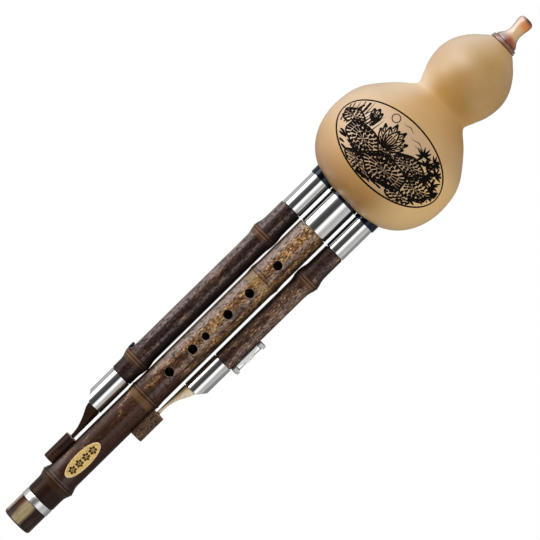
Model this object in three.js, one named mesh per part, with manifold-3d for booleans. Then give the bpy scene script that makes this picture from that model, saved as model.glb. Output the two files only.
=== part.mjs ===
// Hulusi, a gourd flute with one fingered pipe between two drone pipes. Millimetres, +Z up.
// The origin is the centre of the tail's end face and +Z runs up the main pipe to the mouthpiece.
// The finger holes face -Y, the long drone is on the -X side and the short drone is on the +X side.

import * as THREE from 'three';
import { mergeVertices } from 'three/addons/utils/BufferGeometryUtils.js';
import Module from 'manifold-3d';

const wasm = await Module();
wasm.setup();

// Clearances
const seatGap = 0.3; // between pieces that are glued, pressed or screwed together
const slideGap = 0.3; // round a tenon, slider or plug that slides
const fileGap = 0.6; // between the main pipe and the drones' filed nodes
const overrun = 2; // how far a cutter runs past the wall it cuts

// Main pipe of black bamboo
const mainStemLength = 229.2; // visible bamboo, from the ferrule to the top shoulder
const mainRadius = 10;
const mainBoreRadius = 6.5;
const topTenonLength = 22; // turned-down top end of each pipe, inside its socket
const tailTenonRadius = 8.2;
const fingerHoleRadius = 2.8;
const smallHoleRadius = 2.2;

// Horn tail tip and its metal ferrule
const tailTipLength = 15.3;
const tailTipRadius = 9.9;
const tailTipEdge = 1.2; // rounded edge at the end face
const tailLipLength = 3; // lip that closes over the bamboo's end
const ferruleLength = 5.1;
const ferruleRadius = 10.1;

// Oval plate on the front of the main pipe
const plateLength = 28.7;
const plateWidth = 11.6;
const plateThickness = 0.7;

// Long drone on the left
const leftSpacing = 18.6; // its axis from the main pipe's axis
const leftStemLength = 142.8; // visible bamboo, from the sleeve to the top shoulder
const leftRadius = 7.4;
const leftBoreRadius = 4.5;
const leftSocketRadius = 7;
const leftSleeveRadius = 7.2;
const leftSleeveLength = 24.6;
const leftNibLength = 22.2; // bare quill between the sleeve and its block
const leftBlockRadius = 4.4;
const leftBlockLength = 19.6;

// Short drone on the right
const rightSpacing = 18.3;
const rightStemLength = 93.6;
const rightRadius = 6.65;
const rightBoreRadius = 4;
const rightSocketRadius = 6.8;
const rightSleeveRadius = 6.8;
const rightSleeveLength = 25.2;
const rightNibLength = 24.2;
const rightBlockRadius = 5;
const rightBlockLength = 19.4;

// Metal sleeves and sockets, quills and blocks
const metalWall = 0.8;
const mainSocketRadius = 9.75;
const socketShownLength = 24.6; // bare metal between the pipes' shoulders and the collars
const socketHiddenLength = 27; // inside the gourd
const footTenonLength = 10.8; // drone's foot inside its sleeve
const quillDepth = 8; // quill tip inside its block
const blockWall = 1.2;

// Collars round the sockets, under the gourd
const collarLip = 1.8; // from the collars' foot up to the gourd's lowest point
const collarProud = 0.7;

// Gourd
const gourdWall = 3;
const bellyRadius = 45.6;
const bellyHeight = 37; // widest point of the belly, above the gourd's base
const waistRadius = 19.3;
const waistHeight = 81.4;
const bulbRadius = 25.75;
const bulbHeight = 105.6;
const neckRadius = 9.2;
const gourdHeight = 132.3;

// Mouthpiece and the collar under it
const mouthLength = 19; // above the collar
const mouthFootRadius = 7.6;
const mouthNeckRadius = 4.1;
const mouthLipRadius = 5.15;
const mouthBoreRadius = 2;
const spigotRadius = 5.7;
const spigotLength = 10;
const mouthCollarLength = 2.7;

// Reed blocks and reeds, inside the gourd
const reedTenonLength = 9;
const reedHeadLength = 20;
const reedCapThickness = 3;
const reedLength = 13;
const reedThickness = 0.6;
const reedSlit = 0.4;

// Plug in the long drone
const plugRadius = 1.7;
const plugHeadRadius = 2.5;
const plugHeadLength = 1.6;
const plugSeat = 0.3; // flat seat for its head, above the plain bamboo
const plugTravel = 6;

// Switch on the short drone
const switchLength = 24.6;
const switchWidth = 5.6;
const switchPlateThickness = 0.8;
const switchFlatDepth = 0.4; // flat filed on the bamboo under the plate
const switchFoot = 0.6; // from the bamboo's foot up to the switch
const postLength = 3.6;
const postHeight = 3.3; // above the plate
const guideRadius = 0.55;
const guideSocketDepth = 1.1;
const sliderTravel = 3.5; // each way from the middle
const sliderStop = 0.7; // left between the slider and a post at the end of its travel
const sliderLength = switchLength - 2 * (postLength + sliderTravel + sliderStop);
const sliderWidth = 5;
const sliderHeight = 2.8;
const padThickness = 0.8;
const padLength = 7;
const portRadius = 1.1;
const screwRadius = 0.6;
const screwHeadRadius = 1.4;
const screwHeadLength = 0.7;
const screwDepth = 1.8; // in the bamboo
const screwSlotWidth = 0.4;
const screwInset = 1.4; // from the bracket's end to the screw

// Facets round the turned pieces
const gourdSides = 40;
const pipeSides = 32;
const droneSides = 28;
const holeSides = 14;
const smallSides = 12;

const quarterTurn = Math.PI / 2;

// Heights that several pieces share
const stemBottom = tailTipLength + ferruleLength;
const shoulder = stemBottom + mainStemLength;
const collarBottom = shoulder + socketShownLength;
const gourdBase = collarBottom + collarLip;
const gourdTop = gourdBase + gourdHeight;
const socketTop = gourdBase + socketHiddenLength;

// Bamboo nodes: the height of each up the stem, its swelling and its reach as shares of the radius
const mainNodeShares = [
  [0.065, 0.17, 0.33],
  [0.387, 0.05, 0.3],
  [0.822, 0.06, 0.3],
];
const leftNodeShares = [
  [0.097, 0.24, 0.5],
  [0.845, 0.2, 0.58],
];
const rightNodeShares = [[0.756, 0.25, 0.66]];
const nodeStepShares = [-2, -1.2, -0.5, 0, 0.5, 1.2, 2];

// Front holes up the main stem and whether each is the small one, then the holes at its back
const fingerHoleShares = [
  [0.871, false],
  [0.768, false],
  [0.689, false],
  [0.608, true],
  [0.56, false],
  [0.475, false],
];
const backHoleShares = [
  [0.941, false],
  [0.33, true],
  [0.27, true],
];

const plateHeightShare = 0.153; // plate's centre up the main stem
const plugHeightShare = 0.12; // plug up the long drone's stem

// Finishes
const finishes = {
  bamboo: { color: 0x4a3228, roughness: 0.45, metalness: 0 },
  paleBamboo: { color: 0xc49a68, roughness: 0.6, metalness: 0 },
  gourd: { color: 0xdcb887, roughness: 0.42, metalness: 0 },
  metal: { color: 0xc9ccd0, roughness: 0.16, metalness: 1 },
  horn: { color: 0x2b1c10, roughness: 0.3, metalness: 0 },
  brass: { color: 0xb08b45, roughness: 0.35, metalness: 1 },
  resin: { color: 0x9c5a2c, roughness: 0.2, metalness: 0 },
  lacquer: { color: 0x101217, roughness: 0.18, metalness: 0 },
  wood: { color: 0xb98d58, roughness: 0.6, metalness: 0 },
  leather: { color: 0x5a3a22, roughness: 0.8, metalness: 0 },
};

// A closed surface as a solid that can be joined and cut. Triangles that close up at a pole are left out.
function solid(geometry) {
  const bare = geometry.clone();
  bare.deleteAttribute('normal');
  bare.deleteAttribute('uv');
  const welded = mergeVertices(bare);
  const corners = [];
  for (let i = 0; i < welded.index.count; i += 3) {
    const [a, b, c] = [welded.index.getX(i), welded.index.getX(i + 1), welded.index.getX(i + 2)];
    if (a !== b && b !== c && c !== a) corners.push(a, b, c);
  }
  const surface = new wasm.Mesh({
    numProp: 3,
    vertProperties: Float32Array.from(welded.attributes.position.array),
    triVerts: Uint32Array.from(corners),
  });
  return new wasm.Manifold(surface);
}

// A named mesh of a solid, in one of the finishes.
function piece(name, body, finish) {
  const surface = body.getMesh();
  const geometry = new THREE.BufferGeometry();
  geometry.setAttribute('position', new THREE.BufferAttribute(surface.vertProperties, 3));
  geometry.setIndex(new THREE.BufferAttribute(surface.triVerts, 1));
  geometry.computeVertexNormals();
  const mesh = new THREE.Mesh(geometry, new THREE.MeshStandardMaterial(finishes[finish]));
  mesh.name = name;
  return mesh;
}

// A solid turned about an upright axis at x. The outline is radius and height pairs, run anticlockwise.
function turned(outline, sides, x = 0) {
  const points = outline.map(([radius, height]) => new THREE.Vector2(radius, height));
  return solid(new THREE.LatheGeometry(points, sides).rotateX(quarterTurn).translate(x, 0, 0));
}

// A turned ring, whose outline closes on itself.
function turnedRing(outline, sides, x = 0) {
  return turned([...outline, outline[0]], sides, x);
}

// A plain upright tube.
function tube(bore, radius, bottom, top, sides, x = 0) {
  return turnedRing([[bore, bottom], [radius, bottom], [radius, top], [bore, top]], sides, x);
}

// A plain upright rod.
function rod(radius, bottom, top, sides, x = 0) {
  return turned([[0, bottom], [radius, bottom], [radius, top], [0, top]], sides, x);
}

// A rod along X from one place to another, at a height.
function rodAlongX(radius, from, to, height, sides) {
  const shape = new THREE.CylinderGeometry(radius, radius, to - from, sides);
  return solid(shape.rotateZ(quarterTurn).translate((from + to) / 2, 0, height));
}

// A rod along Y from one place to another, at a height.
function rodAlongY(radius, from, to, height, sides) {
  const shape = new THREE.CylinderGeometry(radius, radius, to - from, sides);
  return solid(shape.translate(0, (from + to) / 2, height));
}

// A box between two corners.
function box(low, high) {
  const size = high.map((value, axis) => value - low[axis]);
  const middle = high.map((value, axis) => (value + low[axis]) / 2);
  return solid(new THREE.BoxGeometry(...size).translate(...middle));
}

// An outline in X and Z carried along Y, centred at y.
function slab(outline, width, y = 0) {
  const shape = new THREE.Shape(outline.map(([x, z]) => new THREE.Vector2(x, z)));
  const swept = new THREE.ExtrudeGeometry(shape, { depth: width, bevelEnabled: false });
  return solid(swept.rotateX(quarterTurn).translate(0, y + width / 2, 0));
}

// An outline in Y and Z carried along X, centred on the YZ plane.
function crossSlab(outline, width) {
  const shape = new THREE.Shape(outline.map(([y, z]) => new THREE.Vector2(y, z)));
  const swept = new THREE.ExtrudeGeometry(shape, { depth: width, bevelEnabled: false });
  return solid(swept.rotateX(quarterTurn).rotateZ(quarterTurn).translate(-width / 2, 0, 0));
}

// A bamboo stem between two heights, with its nodes placed and sized.
function bambooStem(radius, bottom, top, nodeShares) {
  const nodes = nodeShares.map(([place, swell, reach]) => ({
    height: bottom + place * (top - bottom),
    swell: swell * radius,
    reach: reach * radius,
  }));
  return { radius, bottom, top, nodes };
}

function stemRadiusAt(stem, height) {
  let radius = stem.radius;
  for (const node of stem.nodes) {
    radius += node.swell * Math.exp(-(((height - node.height) / node.reach) ** 2));
  }
  return radius;
}

// The stem's side from bottom to top, with more points at the nodes.
function stemSide(stem, growth) {
  const steps = (node) => nodeStepShares.map((step) => node.height + step * node.reach);
  const inside = stem.nodes.flatMap(steps).filter((height) => height > stem.bottom && height < stem.top);
  const heights = [stem.bottom, ...inside.sort((a, b) => a - b), stem.top];
  return heights.map((height) => [stemRadiusAt(stem, height) + growth, height]);
}

const mainStem = bambooStem(mainRadius, stemBottom, shoulder, mainNodeShares);

// The main pipe with its tail, as one filled solid grown by a clearance, for cutting what fits round it.
function mainEnvelope(growth, x = 0) {
  const tailRadius = Math.max(ferruleRadius, tailTipRadius) + growth;
  const side = [[0, -overrun], [tailRadius, -overrun], [tailRadius, stemBottom]];
  return turned([...side, ...stemSide(mainStem, growth), [0, shoulder]], pipeSides, x);
}

// The gourd's side from the middle of its base up to its neck, drawn in by an inset.
const upperBellyShares = [
  [0.13, 0.985],
  [0.29, 0.935],
  [0.45, 0.82],
  [0.61, 0.625],
  [0.78, 0.375],
  [0.87, 0.21],
  [0.95, 0.06],
];
const lowerBulbShares = [
  [0, 0],
  [0.18, 0.23],
  [0.33, 0.45],
  [0.52, 0.74],
  [0.74, 0.93],
];
const upperBulbShares = [
  [0, 1],
  [0.2, 0.955],
  [0.34, 0.88],
  [0.47, 0.78],
  [0.61, 0.63],
  [0.74, 0.46],
  [0.88, 0.22],
];
const baseSteps = 8;

function gourdSide(inset, endRadius) {
  const base = gourdBase + inset;
  const [belly, waist, bulb] = [bellyRadius - inset, waistRadius - inset, bulbRadius - inset];
  const [bellyZ, waistZ] = [gourdBase + bellyHeight, gourdBase + waistHeight];
  const bulbZ = gourdBase + bulbHeight;
  const side = [];
  for (let step = 0; step <= baseSteps; step++) {
    const angle = (step / baseSteps) * quarterTurn;
    side.push([belly * Math.sin(angle) ** (2 / 3), base + (bellyZ - base) * (1 - Math.cos(angle))]);
  }
  for (const [along, out] of upperBellyShares) {
    side.push([waist + out * (belly - waist), bellyZ + along * (waistZ - bellyZ)]);
  }
  for (const [along, out] of lowerBulbShares) {
    side.push([waist + out * (bulb - waist), waistZ + along * (bulbZ - waistZ)]);
  }
  for (const [along, out] of upperBulbShares) {
    side.push([endRadius + out * (bulb - endRadius), bulbZ + along * (gourdTop - inset - bulbZ)]);
  }
  side.push([endRadius, gourdTop - inset]);
  return side;
}

// The three pipes: where each socket stands and how big it is
const socketPlaces = [
  { name: 'main', x: 0, radius: mainSocketRadius, sides: pipeSides },
  { name: 'left', x: -leftSpacing, radius: leftSocketRadius, sides: droneSides },
  { name: 'right', x: rightSpacing, radius: rightSocketRadius, sides: droneSides },
];

// Gourd shell: hollow, with a hole in its base for each socket and one in its neck for the mouthpiece.
// Its inside has every second point of the side, from the base to the neck.
function gourdShell() {
  const holeRadius = spigotRadius + seatGap;
  const outside = gourdSide(0, neckRadius);
  const inside = gourdSide(gourdWall, holeRadius).filter((point, place) => place % 2 === 0).reverse();
  let shell = turned([...outside, [holeRadius, gourdTop], ...inside], gourdSides);
  for (const place of socketPlaces) {
    shell = shell.subtract(rod(place.radius + seatGap, collarBottom, socketTop, place.sides, place.x));
  }
  return piece('gourd_shell', shell, 'gourd');
}

// Metal socket: a plain tube from the pipe's shoulder up into the gourd.
function socket(place) {
  const wall = tube(place.radius - metalWall, place.radius, shoulder + seatGap, socketTop, place.sides);
  return piece(`${place.name}_socket`, wall, 'metal');
}

// Black collar round a socket, cut to the gourd's underside.
function collar(place) {
  const bore = place.radius + seatGap / 2;
  const ring = tube(bore, place.radius + collarProud, collarBottom, gourdBase + bellyHeight, place.sides);
  const gourdSkin = [...gourdSide(-seatGap, neckRadius + seatGap), [0, gourdTop + seatGap]];
  return piece(`${place.name}_collar`, ring.subtract(turned(gourdSkin, gourdSides, -place.x)), 'lacquer');
}

// Reed block: a wooden plug in the socket's top, bored from below, with a flat and a window for the reed.
const blockBoreShare = 0.45;
const blockFlatShare = 0.72;
const reedHalfWidthShare = 0.36;
const tongueHalfWidthShare = 0.16;
const windowMargin = 0.5;
const tongueBaseShare = 0.22;
const tongueTipShare = 0.8;

function reedPlace(place) {
  const bottom = socketTop + seatGap + (reedHeadLength - reedLength) / 2;
  return {
    bottom,
    top: bottom + reedLength,
    flat: blockFlatShare * place.radius,
    halfWidth: reedHalfWidthShare * place.radius,
    tongue: tongueHalfWidthShare * place.radius,
    tongueBase: bottom + tongueBaseShare * reedLength,
    tongueTip: bottom + tongueTipShare * reedLength,
  };
}

function reedBlock(place) {
  const bore = blockBoreShare * place.radius;
  const tenon = place.radius - metalWall - seatGap;
  const bottom = socketTop - reedTenonLength;
  const head = socketTop + seatGap;
  const top = head + reedHeadLength;
  const roof = top - reedCapThickness;
  const outline = [[0, roof], [bore, roof], [bore, bottom], [tenon, bottom], [tenon, head]];
  const block = turned([...outline, [place.radius, head], [place.radius, top], [0, top]], place.sides);
  const reed = reedPlace(place);
  const reach = place.radius + overrun;
  const flat = box([-reach, -reach, head], [reach, -reed.flat, top + overrun]);
  const halfWindow = reed.tongue + windowMargin;
  const low = [-halfWindow, -reach, reed.tongueBase - windowMargin];
  const window = box(low, [halfWindow, 0, reed.tongueTip + windowMargin]);
  return piece(`${place.name}_reed_block`, block.subtract(flat).subtract(window), 'wood');
}

// Free reed: a brass plate with a pointed tongue cut free on two sides.
function reed(place) {
  const { bottom, top, flat, halfWidth, tongue, tongueBase, tongueTip } = reedPlace(place);
  const front = -(flat + seatGap + reedThickness / 2);
  const corners = [[-halfWidth, bottom], [halfWidth, bottom], [halfWidth, top], [-halfWidth, top]];
  const inner = tongue - reedSlit;
  const slit = [[-tongue, tongueBase], [-inner, tongueBase], [0, tongueTip - reedSlit]];
  slit.push([inner, tongueBase], [tongue, tongueBase], [0, tongueTip]);
  const plate = slab(corners, reedThickness, front).subtract(slab(slit, reedThickness + overrun, front));
  return piece(`${place.name}_reed`, plate, 'brass');
}

// Mouthpiece: a waisted tube with a spigot in the gourd's neck.
const mouthSideShares = [[0.05, 0.96], [0.12, 0.75], [0.24, 0.28], [0.41, 0]];
const mouthLipShares = [[0.56, 0.22], [0.74, 0.82], [0.86, 1], [0.95, 0.9]];
const mouthEndShare = 0.45;

function mouthpiece() {
  const foot = gourdTop + seatGap + mouthCollarLength + seatGap;
  const outline = [[mouthBoreRadius, gourdTop - spigotLength], [spigotRadius, gourdTop - spigotLength]];
  outline.push([spigotRadius, foot], [mouthFootRadius, foot]);
  for (const [along, out] of mouthSideShares) {
    const radius = mouthNeckRadius + out * (mouthFootRadius - mouthNeckRadius);
    outline.push([radius, foot + along * mouthLength]);
  }
  for (const [along, out] of mouthLipShares) {
    const radius = mouthNeckRadius + out * (mouthLipRadius - mouthNeckRadius);
    outline.push([radius, foot + along * mouthLength]);
  }
  const end = mouthBoreRadius + mouthEndShare * (mouthLipRadius - mouthBoreRadius);
  outline.push([end, foot + mouthLength], [mouthBoreRadius, foot + mouthLength]);
  return piece('mouthpiece', turnedRing(outline, smallSides + smallSides), 'resin');
}

// Collar under the mouthpiece: two rounded rings with a groove between.
const mouthCollarShares = [
  [0, 0.9],
  [0.12, 1],
  [0.4, 1],
  [0.5, 0.88],
  [0.6, 0.97],
  [0.88, 0.95],
  [1, 0.86],
];

function mouthCollar() {
  const foot = gourdTop + seatGap;
  const bore = spigotRadius + seatGap;
  const side = mouthCollarShares.map(([along, out]) => [out * neckRadius, foot + along * mouthCollarLength]);
  const outline = [[bore, foot], ...side, [bore, foot + mouthCollarLength]];
  return piece('mouthpiece_collar', turnedRing(outline, pipeSides), 'resin');
}

// Main pipe: bamboo with turned-down ends, bored through, with its finger and back holes.
function mainPipe() {
  const topTenon = mainSocketRadius - metalWall - slideGap;
  const top = shoulder + topTenonLength;
  const bottom = tailLipLength + seatGap;
  const foot = [[mainBoreRadius, bottom], [tailTenonRadius, bottom], [tailTenonRadius, stemBottom]];
  const head = [[topTenon, shoulder], [topTenon, top], [mainBoreRadius, top]];
  let pipe = turnedRing([...foot, ...stemSide(mainStem, 0), ...head], pipeSides);
  const reach = mainRadius + overrun;
  for (const [share, small] of fingerHoleShares) {
    const radius = small ? smallHoleRadius : fingerHoleRadius;
    pipe = pipe.subtract(rodAlongY(radius, -reach, 0, stemBottom + share * mainStemLength, holeSides));
  }
  for (const [share, small] of backHoleShares) {
    const radius = small ? smallHoleRadius : fingerHoleRadius;
    pipe = pipe.subtract(rodAlongY(radius, 0, reach, stemBottom + share * mainStemLength, holeSides));
  }
  return piece('main_pipe', pipe, 'bamboo');
}

// Horn tip: a sleeve on the bamboo's tail tenon, with a lip over the bamboo's end.
function tailTip() {
  const bore = tailTenonRadius + seatGap;
  const top = tailTipLength - seatGap;
  const round = tailTipEdge * (1 - Math.SQRT1_2);
  const outline = [[mainBoreRadius, 0], [tailTipRadius - tailTipEdge, 0], [tailTipRadius - round, round]];
  outline.push([tailTipRadius, tailTipEdge], [tailTipRadius, top], [bore, top]);
  outline.push([bore, tailLipLength], [mainBoreRadius, tailLipLength]);
  return piece('tail_tip', turnedRing(outline, pipeSides), 'horn');
}

function tailFerrule() {
  const bore = tailTenonRadius + seatGap;
  const ring = tube(bore, ferruleRadius, tailTipLength, stemBottom - seatGap, pipeSides);
  return piece('tail_ferrule', ring, 'metal');
}

// Oval plate bent round the front of the main pipe.
const plateSides = 28;
const plateTurn = Math.PI / 25; // round the pipe, towards the short drone

function namePlate() {
  const middle = stemBottom + plateHeightShare * mainStemLength;
  const [bottom, top] = [middle - plateLength / 2 - overrun, middle + plateLength / 2 + overrun];
  const around = tube(mainRadius, mainRadius + overrun, bottom, top, pipeSides + pipeSides);
  const clear = mainEnvelope(seatGap);
  const skin = mainEnvelope(seatGap + plateThickness);
  const oval = new THREE.CylinderGeometry(1, 1, mainRadius + overrun, plateSides);
  oval.scale(plateWidth / 2, 1, plateLength / 2).translate(0, -(mainRadius + overrun) / 2, middle);
  oval.rotateZ(plateTurn);
  const plate = around.intersect(skin).subtract(clear).intersect(solid(oval));
  return piece('name_plate', plate, 'brass');
}

// The two drones and what holds each one's foot
const drones = [
  {
    name: 'left', side: -1, spacing: leftSpacing, radius: leftRadius, bore: leftBoreRadius,
    stemLength: leftStemLength, nodes: leftNodeShares, socketRadius: leftSocketRadius,
    sleeveRadius: leftSleeveRadius, sleeveLength: leftSleeveLength, nibLength: leftNibLength,
    blockRadius: leftBlockRadius, blockLength: leftBlockLength, quillFinish: 'bamboo',
  },
  {
    name: 'right', side: 1, spacing: rightSpacing, radius: rightRadius, bore: rightBoreRadius,
    stemLength: rightStemLength, nodes: rightNodeShares, socketRadius: rightSocketRadius,
    sleeveRadius: rightSleeveRadius, sleeveLength: rightSleeveLength, nibLength: rightNibLength,
    blockRadius: rightBlockRadius, blockLength: rightBlockLength, quillFinish: 'paleBamboo',
  },
];

// Heights on a drone, from its shoulder down to its quill's tip.
function droneHeights(drone) {
  const foot = shoulder - drone.stemLength;
  const sleeveEnd = foot - drone.sleeveLength;
  const blockTop = sleeveEnd - drone.nibLength;
  return { foot, sleeveEnd, blockTop, tip: blockTop - quillDepth };
}

// Bamboo drone about its own axis, its nodes filed clear of the main pipe.
function droneStem(drone) {
  const { foot } = droneHeights(drone);
  const stem = bambooStem(drone.radius, foot, shoulder, drone.nodes);
  const topTenon = drone.socketRadius - metalWall - slideGap;
  const footTenon = drone.sleeveRadius - metalWall - seatGap;
  const [bottom, top] = [foot - footTenonLength, shoulder + topTenonLength];
  const lower = [[drone.bore, bottom], [footTenon, bottom], [footTenon, foot]];
  const upper = [[topTenon, shoulder], [topTenon, top], [drone.bore, top]];
  const pipe = turnedRing([...lower, ...stemSide(stem, 0), ...upper], droneSides);
  return pipe.subtract(mainEnvelope(fileGap, -drone.side * drone.spacing));
}

// Metal sleeve on the drone's foot, its end cut off at a slant on the outer side.
const bevelRiseShare = 0.8;
const bevelRunShare = 0.66;

function droneSleeve(drone) {
  const { foot, sleeveEnd } = droneHeights(drone);
  const radius = drone.sleeveRadius;
  const sleeve = tube(radius - metalWall, radius, sleeveEnd, foot - seatGap, droneSides);
  const start = radius * (1 - bevelRunShare);
  const edge = radius + overrun;
  const rise = (bevelRiseShare / bevelRunShare) * (edge - start);
  const under = sleeveEnd - overrun;
  const outline = [[start, sleeveEnd], [edge, sleeveEnd + rise], [edge, under], [start, under]];
  const wedge = slab(outline.map(([x, z]) => [drone.side * x, z]), 2 * edge);
  return piece(`${drone.name}_sleeve`, sleeve.subtract(wedge), 'metal');
}

// Quill: a pen-shaped foot, round in the sleeve, cut away on its outer side to a narrow tip in the block.
// First the share down the bare nib, then its outer edge or half width as a share of the sleeve's radius.
const quillEdgeShares = [
  [0, 0.35],
  [0.06, 0.31],
  [0.15, 0.22],
  [0.25, 0.08],
  [0.41, -0.16],
  [0.59, -0.37],
  [0.76, -0.52],
  [1, -0.61],
];
const quillWidthShares = [
  [0, 0.95],
  [0.25, 0.76],
  [0.5, 0.52],
  [0.75, 0.36],
  [1, 0.26],
];
const quillTipEdgeShare = -0.64;
const quillTipWidthShare = 0.22;
const quillInnerShare = 0.95;

function quill(drone) {
  const { foot, sleeveEnd, blockTop, tip } = droneHeights(drone);
  const radius = drone.sleeveRadius;
  const [shank, nib] = [radius - metalWall - seatGap, quillInnerShare * radius];
  const top = foot - footTenonLength - seatGap;
  const neck = sleeveEnd - seatGap;
  const blank = [[0, tip], [nib, tip], [nib, neck], [shank, neck], [shank, top], [0, top]];
  const wide = radius + overrun;
  const bevelTop = sleeveEnd + radius * bevelRiseShare;
  const down = ([along, out]) => [out * radius, sleeveEnd - along * drone.nibLength];
  const edge = [[wide, top + overrun], [wide, bevelTop + overrun], [shank, bevelTop - seatGap]];
  edge.push(...quillEdgeShares.map(down), [quillTipEdgeShare * radius, tip - overrun]);
  edge.push([-wide, tip - overrun], [-wide, top + overrun]);
  const half = [[wide, top + overrun], [wide, sleeveEnd], ...quillWidthShares.map(down)];
  half.push([quillTipWidthShare * radius, tip], [quillTipWidthShare * radius, tip - overrun]);
  const otherHalf = half.map(([y, z]) => [-y, z]).reverse();
  const sideCut = slab(edge.map(([x, z]) => [drone.side * x, z]), 2 * wide);
  const frontCut = crossSlab([...half, ...otherHalf], 2 * wide);
  const body = turned(blank, droneSides).intersect(sideCut).intersect(frontCut);
  return piece(`${drone.name}_quill`, body, drone.quillFinish);
}

// Block: a short bamboo tube glued to the main pipe's side, that the quill's tip sits in.
function blockPlace(drone) {
  const tipMiddle = ((quillInnerShare - quillTipEdgeShare) / 2) * drone.sleeveRadius;
  return drone.side * (drone.spacing - tipMiddle);
}

function quillBlock(drone) {
  const { blockTop } = droneHeights(drone);
  const bottom = blockTop - drone.blockLength;
  const radius = drone.blockRadius;
  const ring = tube(radius - blockWall, radius, bottom, blockTop, droneSides, blockPlace(drone));
  return piece(`${drone.name}_block`, ring.subtract(mainEnvelope(seatGap)), 'bamboo');
}

// Plug in the long drone's side, on its outer side.
function plugHeight(drone) {
  return droneHeights(drone).foot + plugHeightShare * drone.stemLength;
}

function pluggedStem(drone) {
  const height = plugHeight(drone);
  const seat = -(drone.radius + plugSeat);
  const reach = seat - plugTravel - plugHeadLength;
  const hole = rodAlongX(plugRadius + slideGap, reach, 0, height, smallSides);
  const face = rodAlongX(plugHeadRadius + slideGap, reach, seat, height, holeSides);
  return piece('left_drone_pipe', droneStem(drone).subtract(hole).subtract(face), 'bamboo');
}

function ventPlug(drone) {
  const height = plugHeight(drone);
  const headFoot = -(drone.radius + plugSeat + slideGap);
  const shank = rodAlongX(plugRadius, headFoot, -drone.bore, height, smallSides);
  const head = rodAlongX(plugHeadRadius, headFoot - plugHeadLength, headFoot, height, holeSides);
  return piece('left_vent_plug', shank.add(head), 'lacquer');
}

// Places of the switch on the short drone, out from the drone's axis and up from the origin.
function switchPlaces(drone) {
  const bottom = droneHeights(drone).foot + switchFoot;
  const top = bottom + switchLength;
  const flat = drone.radius - switchFlatDepth;
  const plateFoot = flat + seatGap;
  const plateTop = plateFoot + switchPlateThickness;
  const padFoot = plateTop + slideGap;
  const sliderFoot = padFoot + padThickness + seatGap;
  const middle = (bottom + top) / 2;
  return {
    bottom, top, flat, plateFoot, plateTop, padFoot, sliderFoot, middle,
    postTop: plateTop + postHeight,
    guide: sliderFoot + sliderHeight / 2,
    port: middle - padLength / 2 + portRadius + slideGap,
    screws: [bottom + screwInset, top - screwInset],
  };
}

// Short drone with a filed flat for the switch, screw holes and the port that the pad covers.
function switchedStem(drone) {
  const place = switchPlaces(drone);
  const reach = drone.radius + overrun;
  const flat = box([place.flat, -reach, place.bottom - seatGap], [reach, reach, place.top + seatGap]);
  let stem = droneStem(drone).subtract(flat);
  stem = stem.subtract(rodAlongX(portRadius, 0, reach, place.port, smallSides));
  for (const height of place.screws) {
    const pilotEnd = place.flat - screwDepth - seatGap;
    stem = stem.subtract(rodAlongX(screwRadius + seatGap, pilotEnd, reach, height, smallSides));
  }
  return piece('right_drone_pipe', stem, 'bamboo');
}

// Switch bracket: a plate with a post at each end, drilled for the port, the guide rod and the screws.
function switchBracket(drone) {
  const { bottom, top, plateFoot, plateTop, postTop, guide, port, screws } = switchPlaces(drone);
  const outline = [[plateFoot, bottom], [postTop, bottom], [postTop, bottom + postLength]];
  outline.push([plateTop, bottom + postLength], [plateTop, top - postLength]);
  outline.push([postTop, top - postLength], [postTop, top], [plateFoot, top]);
  const inset = postLength - guideSocketDepth;
  const guideHole = rod(guideRadius + seatGap, bottom + inset, top - inset, smallSides, guide);
  const portHole = rodAlongX(portRadius, 0, plateTop + overrun, port, smallSides);
  let bracket = slab(outline, switchWidth).subtract(guideHole).subtract(portHole);
  for (const height of screws) {
    const screwHole = rodAlongX(screwRadius + seatGap, 0, postTop + overrun, height, smallSides);
    bracket = bracket.subtract(screwHole);
  }
  return piece('switch_bracket', bracket, 'metal');
}

// Slotted screw through a post into the bamboo.
function switchScrew(drone, name, height) {
  const { flat, postTop } = switchPlaces(drone);
  const headFoot = postTop + seatGap;
  const headTop = headFoot + screwHeadLength;
  const shank = rodAlongX(screwRadius, flat - screwDepth, headFoot, height, smallSides);
  const head = rodAlongX(screwHeadRadius, headFoot, headTop, height, smallSides);
  const half = screwSlotWidth / 2;
  const slotLow = [headTop - screwHeadLength / 2, -screwHeadRadius - overrun, height - half];
  const slot = box(slotLow, [headTop + overrun, screwHeadRadius + overrun, height + half]);
  return piece(name, shank.add(head).subtract(slot), 'metal');
}

function switchGuide(drone) {
  const { bottom, top, guide } = switchPlaces(drone);
  const inset = postLength - guideSocketDepth + seatGap;
  return piece('switch_guide', rod(guideRadius, bottom + inset, top - inset, smallSides, guide), 'metal');
}

// Slider on the guide rod, ribbed on top for the thumb.
const sliderRibShares = [
  [0, 0.62],
  [0.16, 0.8],
  [0.24, 1],
  [0.32, 0.84],
  [0.42, 0.84],
  [0.5, 1],
  [0.58, 0.84],
  [0.68, 0.84],
  [0.76, 1],
  [0.84, 0.8],
  [1, 0.62],
];

function switchSlider(drone) {
  const { sliderFoot, guide, middle } = switchPlaces(drone);
  const [low, high] = [middle - sliderLength / 2, middle + sliderLength / 2];
  const rib = ([along, out]) => [sliderFoot + out * sliderHeight, low + along * sliderLength];
  const body = slab([[sliderFoot, low], ...sliderRibShares.map(rib), [sliderFoot, high]], sliderWidth);
  const bore = rod(guideRadius + slideGap, low - overrun, high + overrun, smallSides, guide);
  return piece('switch_slider', body.subtract(bore), 'metal');
}

function switchPad(drone) {
  const { padFoot, middle } = switchPlaces(drone);
  const halfWidth = (sliderWidth - seatGap) / 2;
  const low = [padFoot, -halfWidth, middle - padLength / 2];
  const high = [padFoot + padThickness, halfWidth, middle + padLength / 2];
  return piece('switch_pad', box(low, high), 'leather');
}

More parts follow.
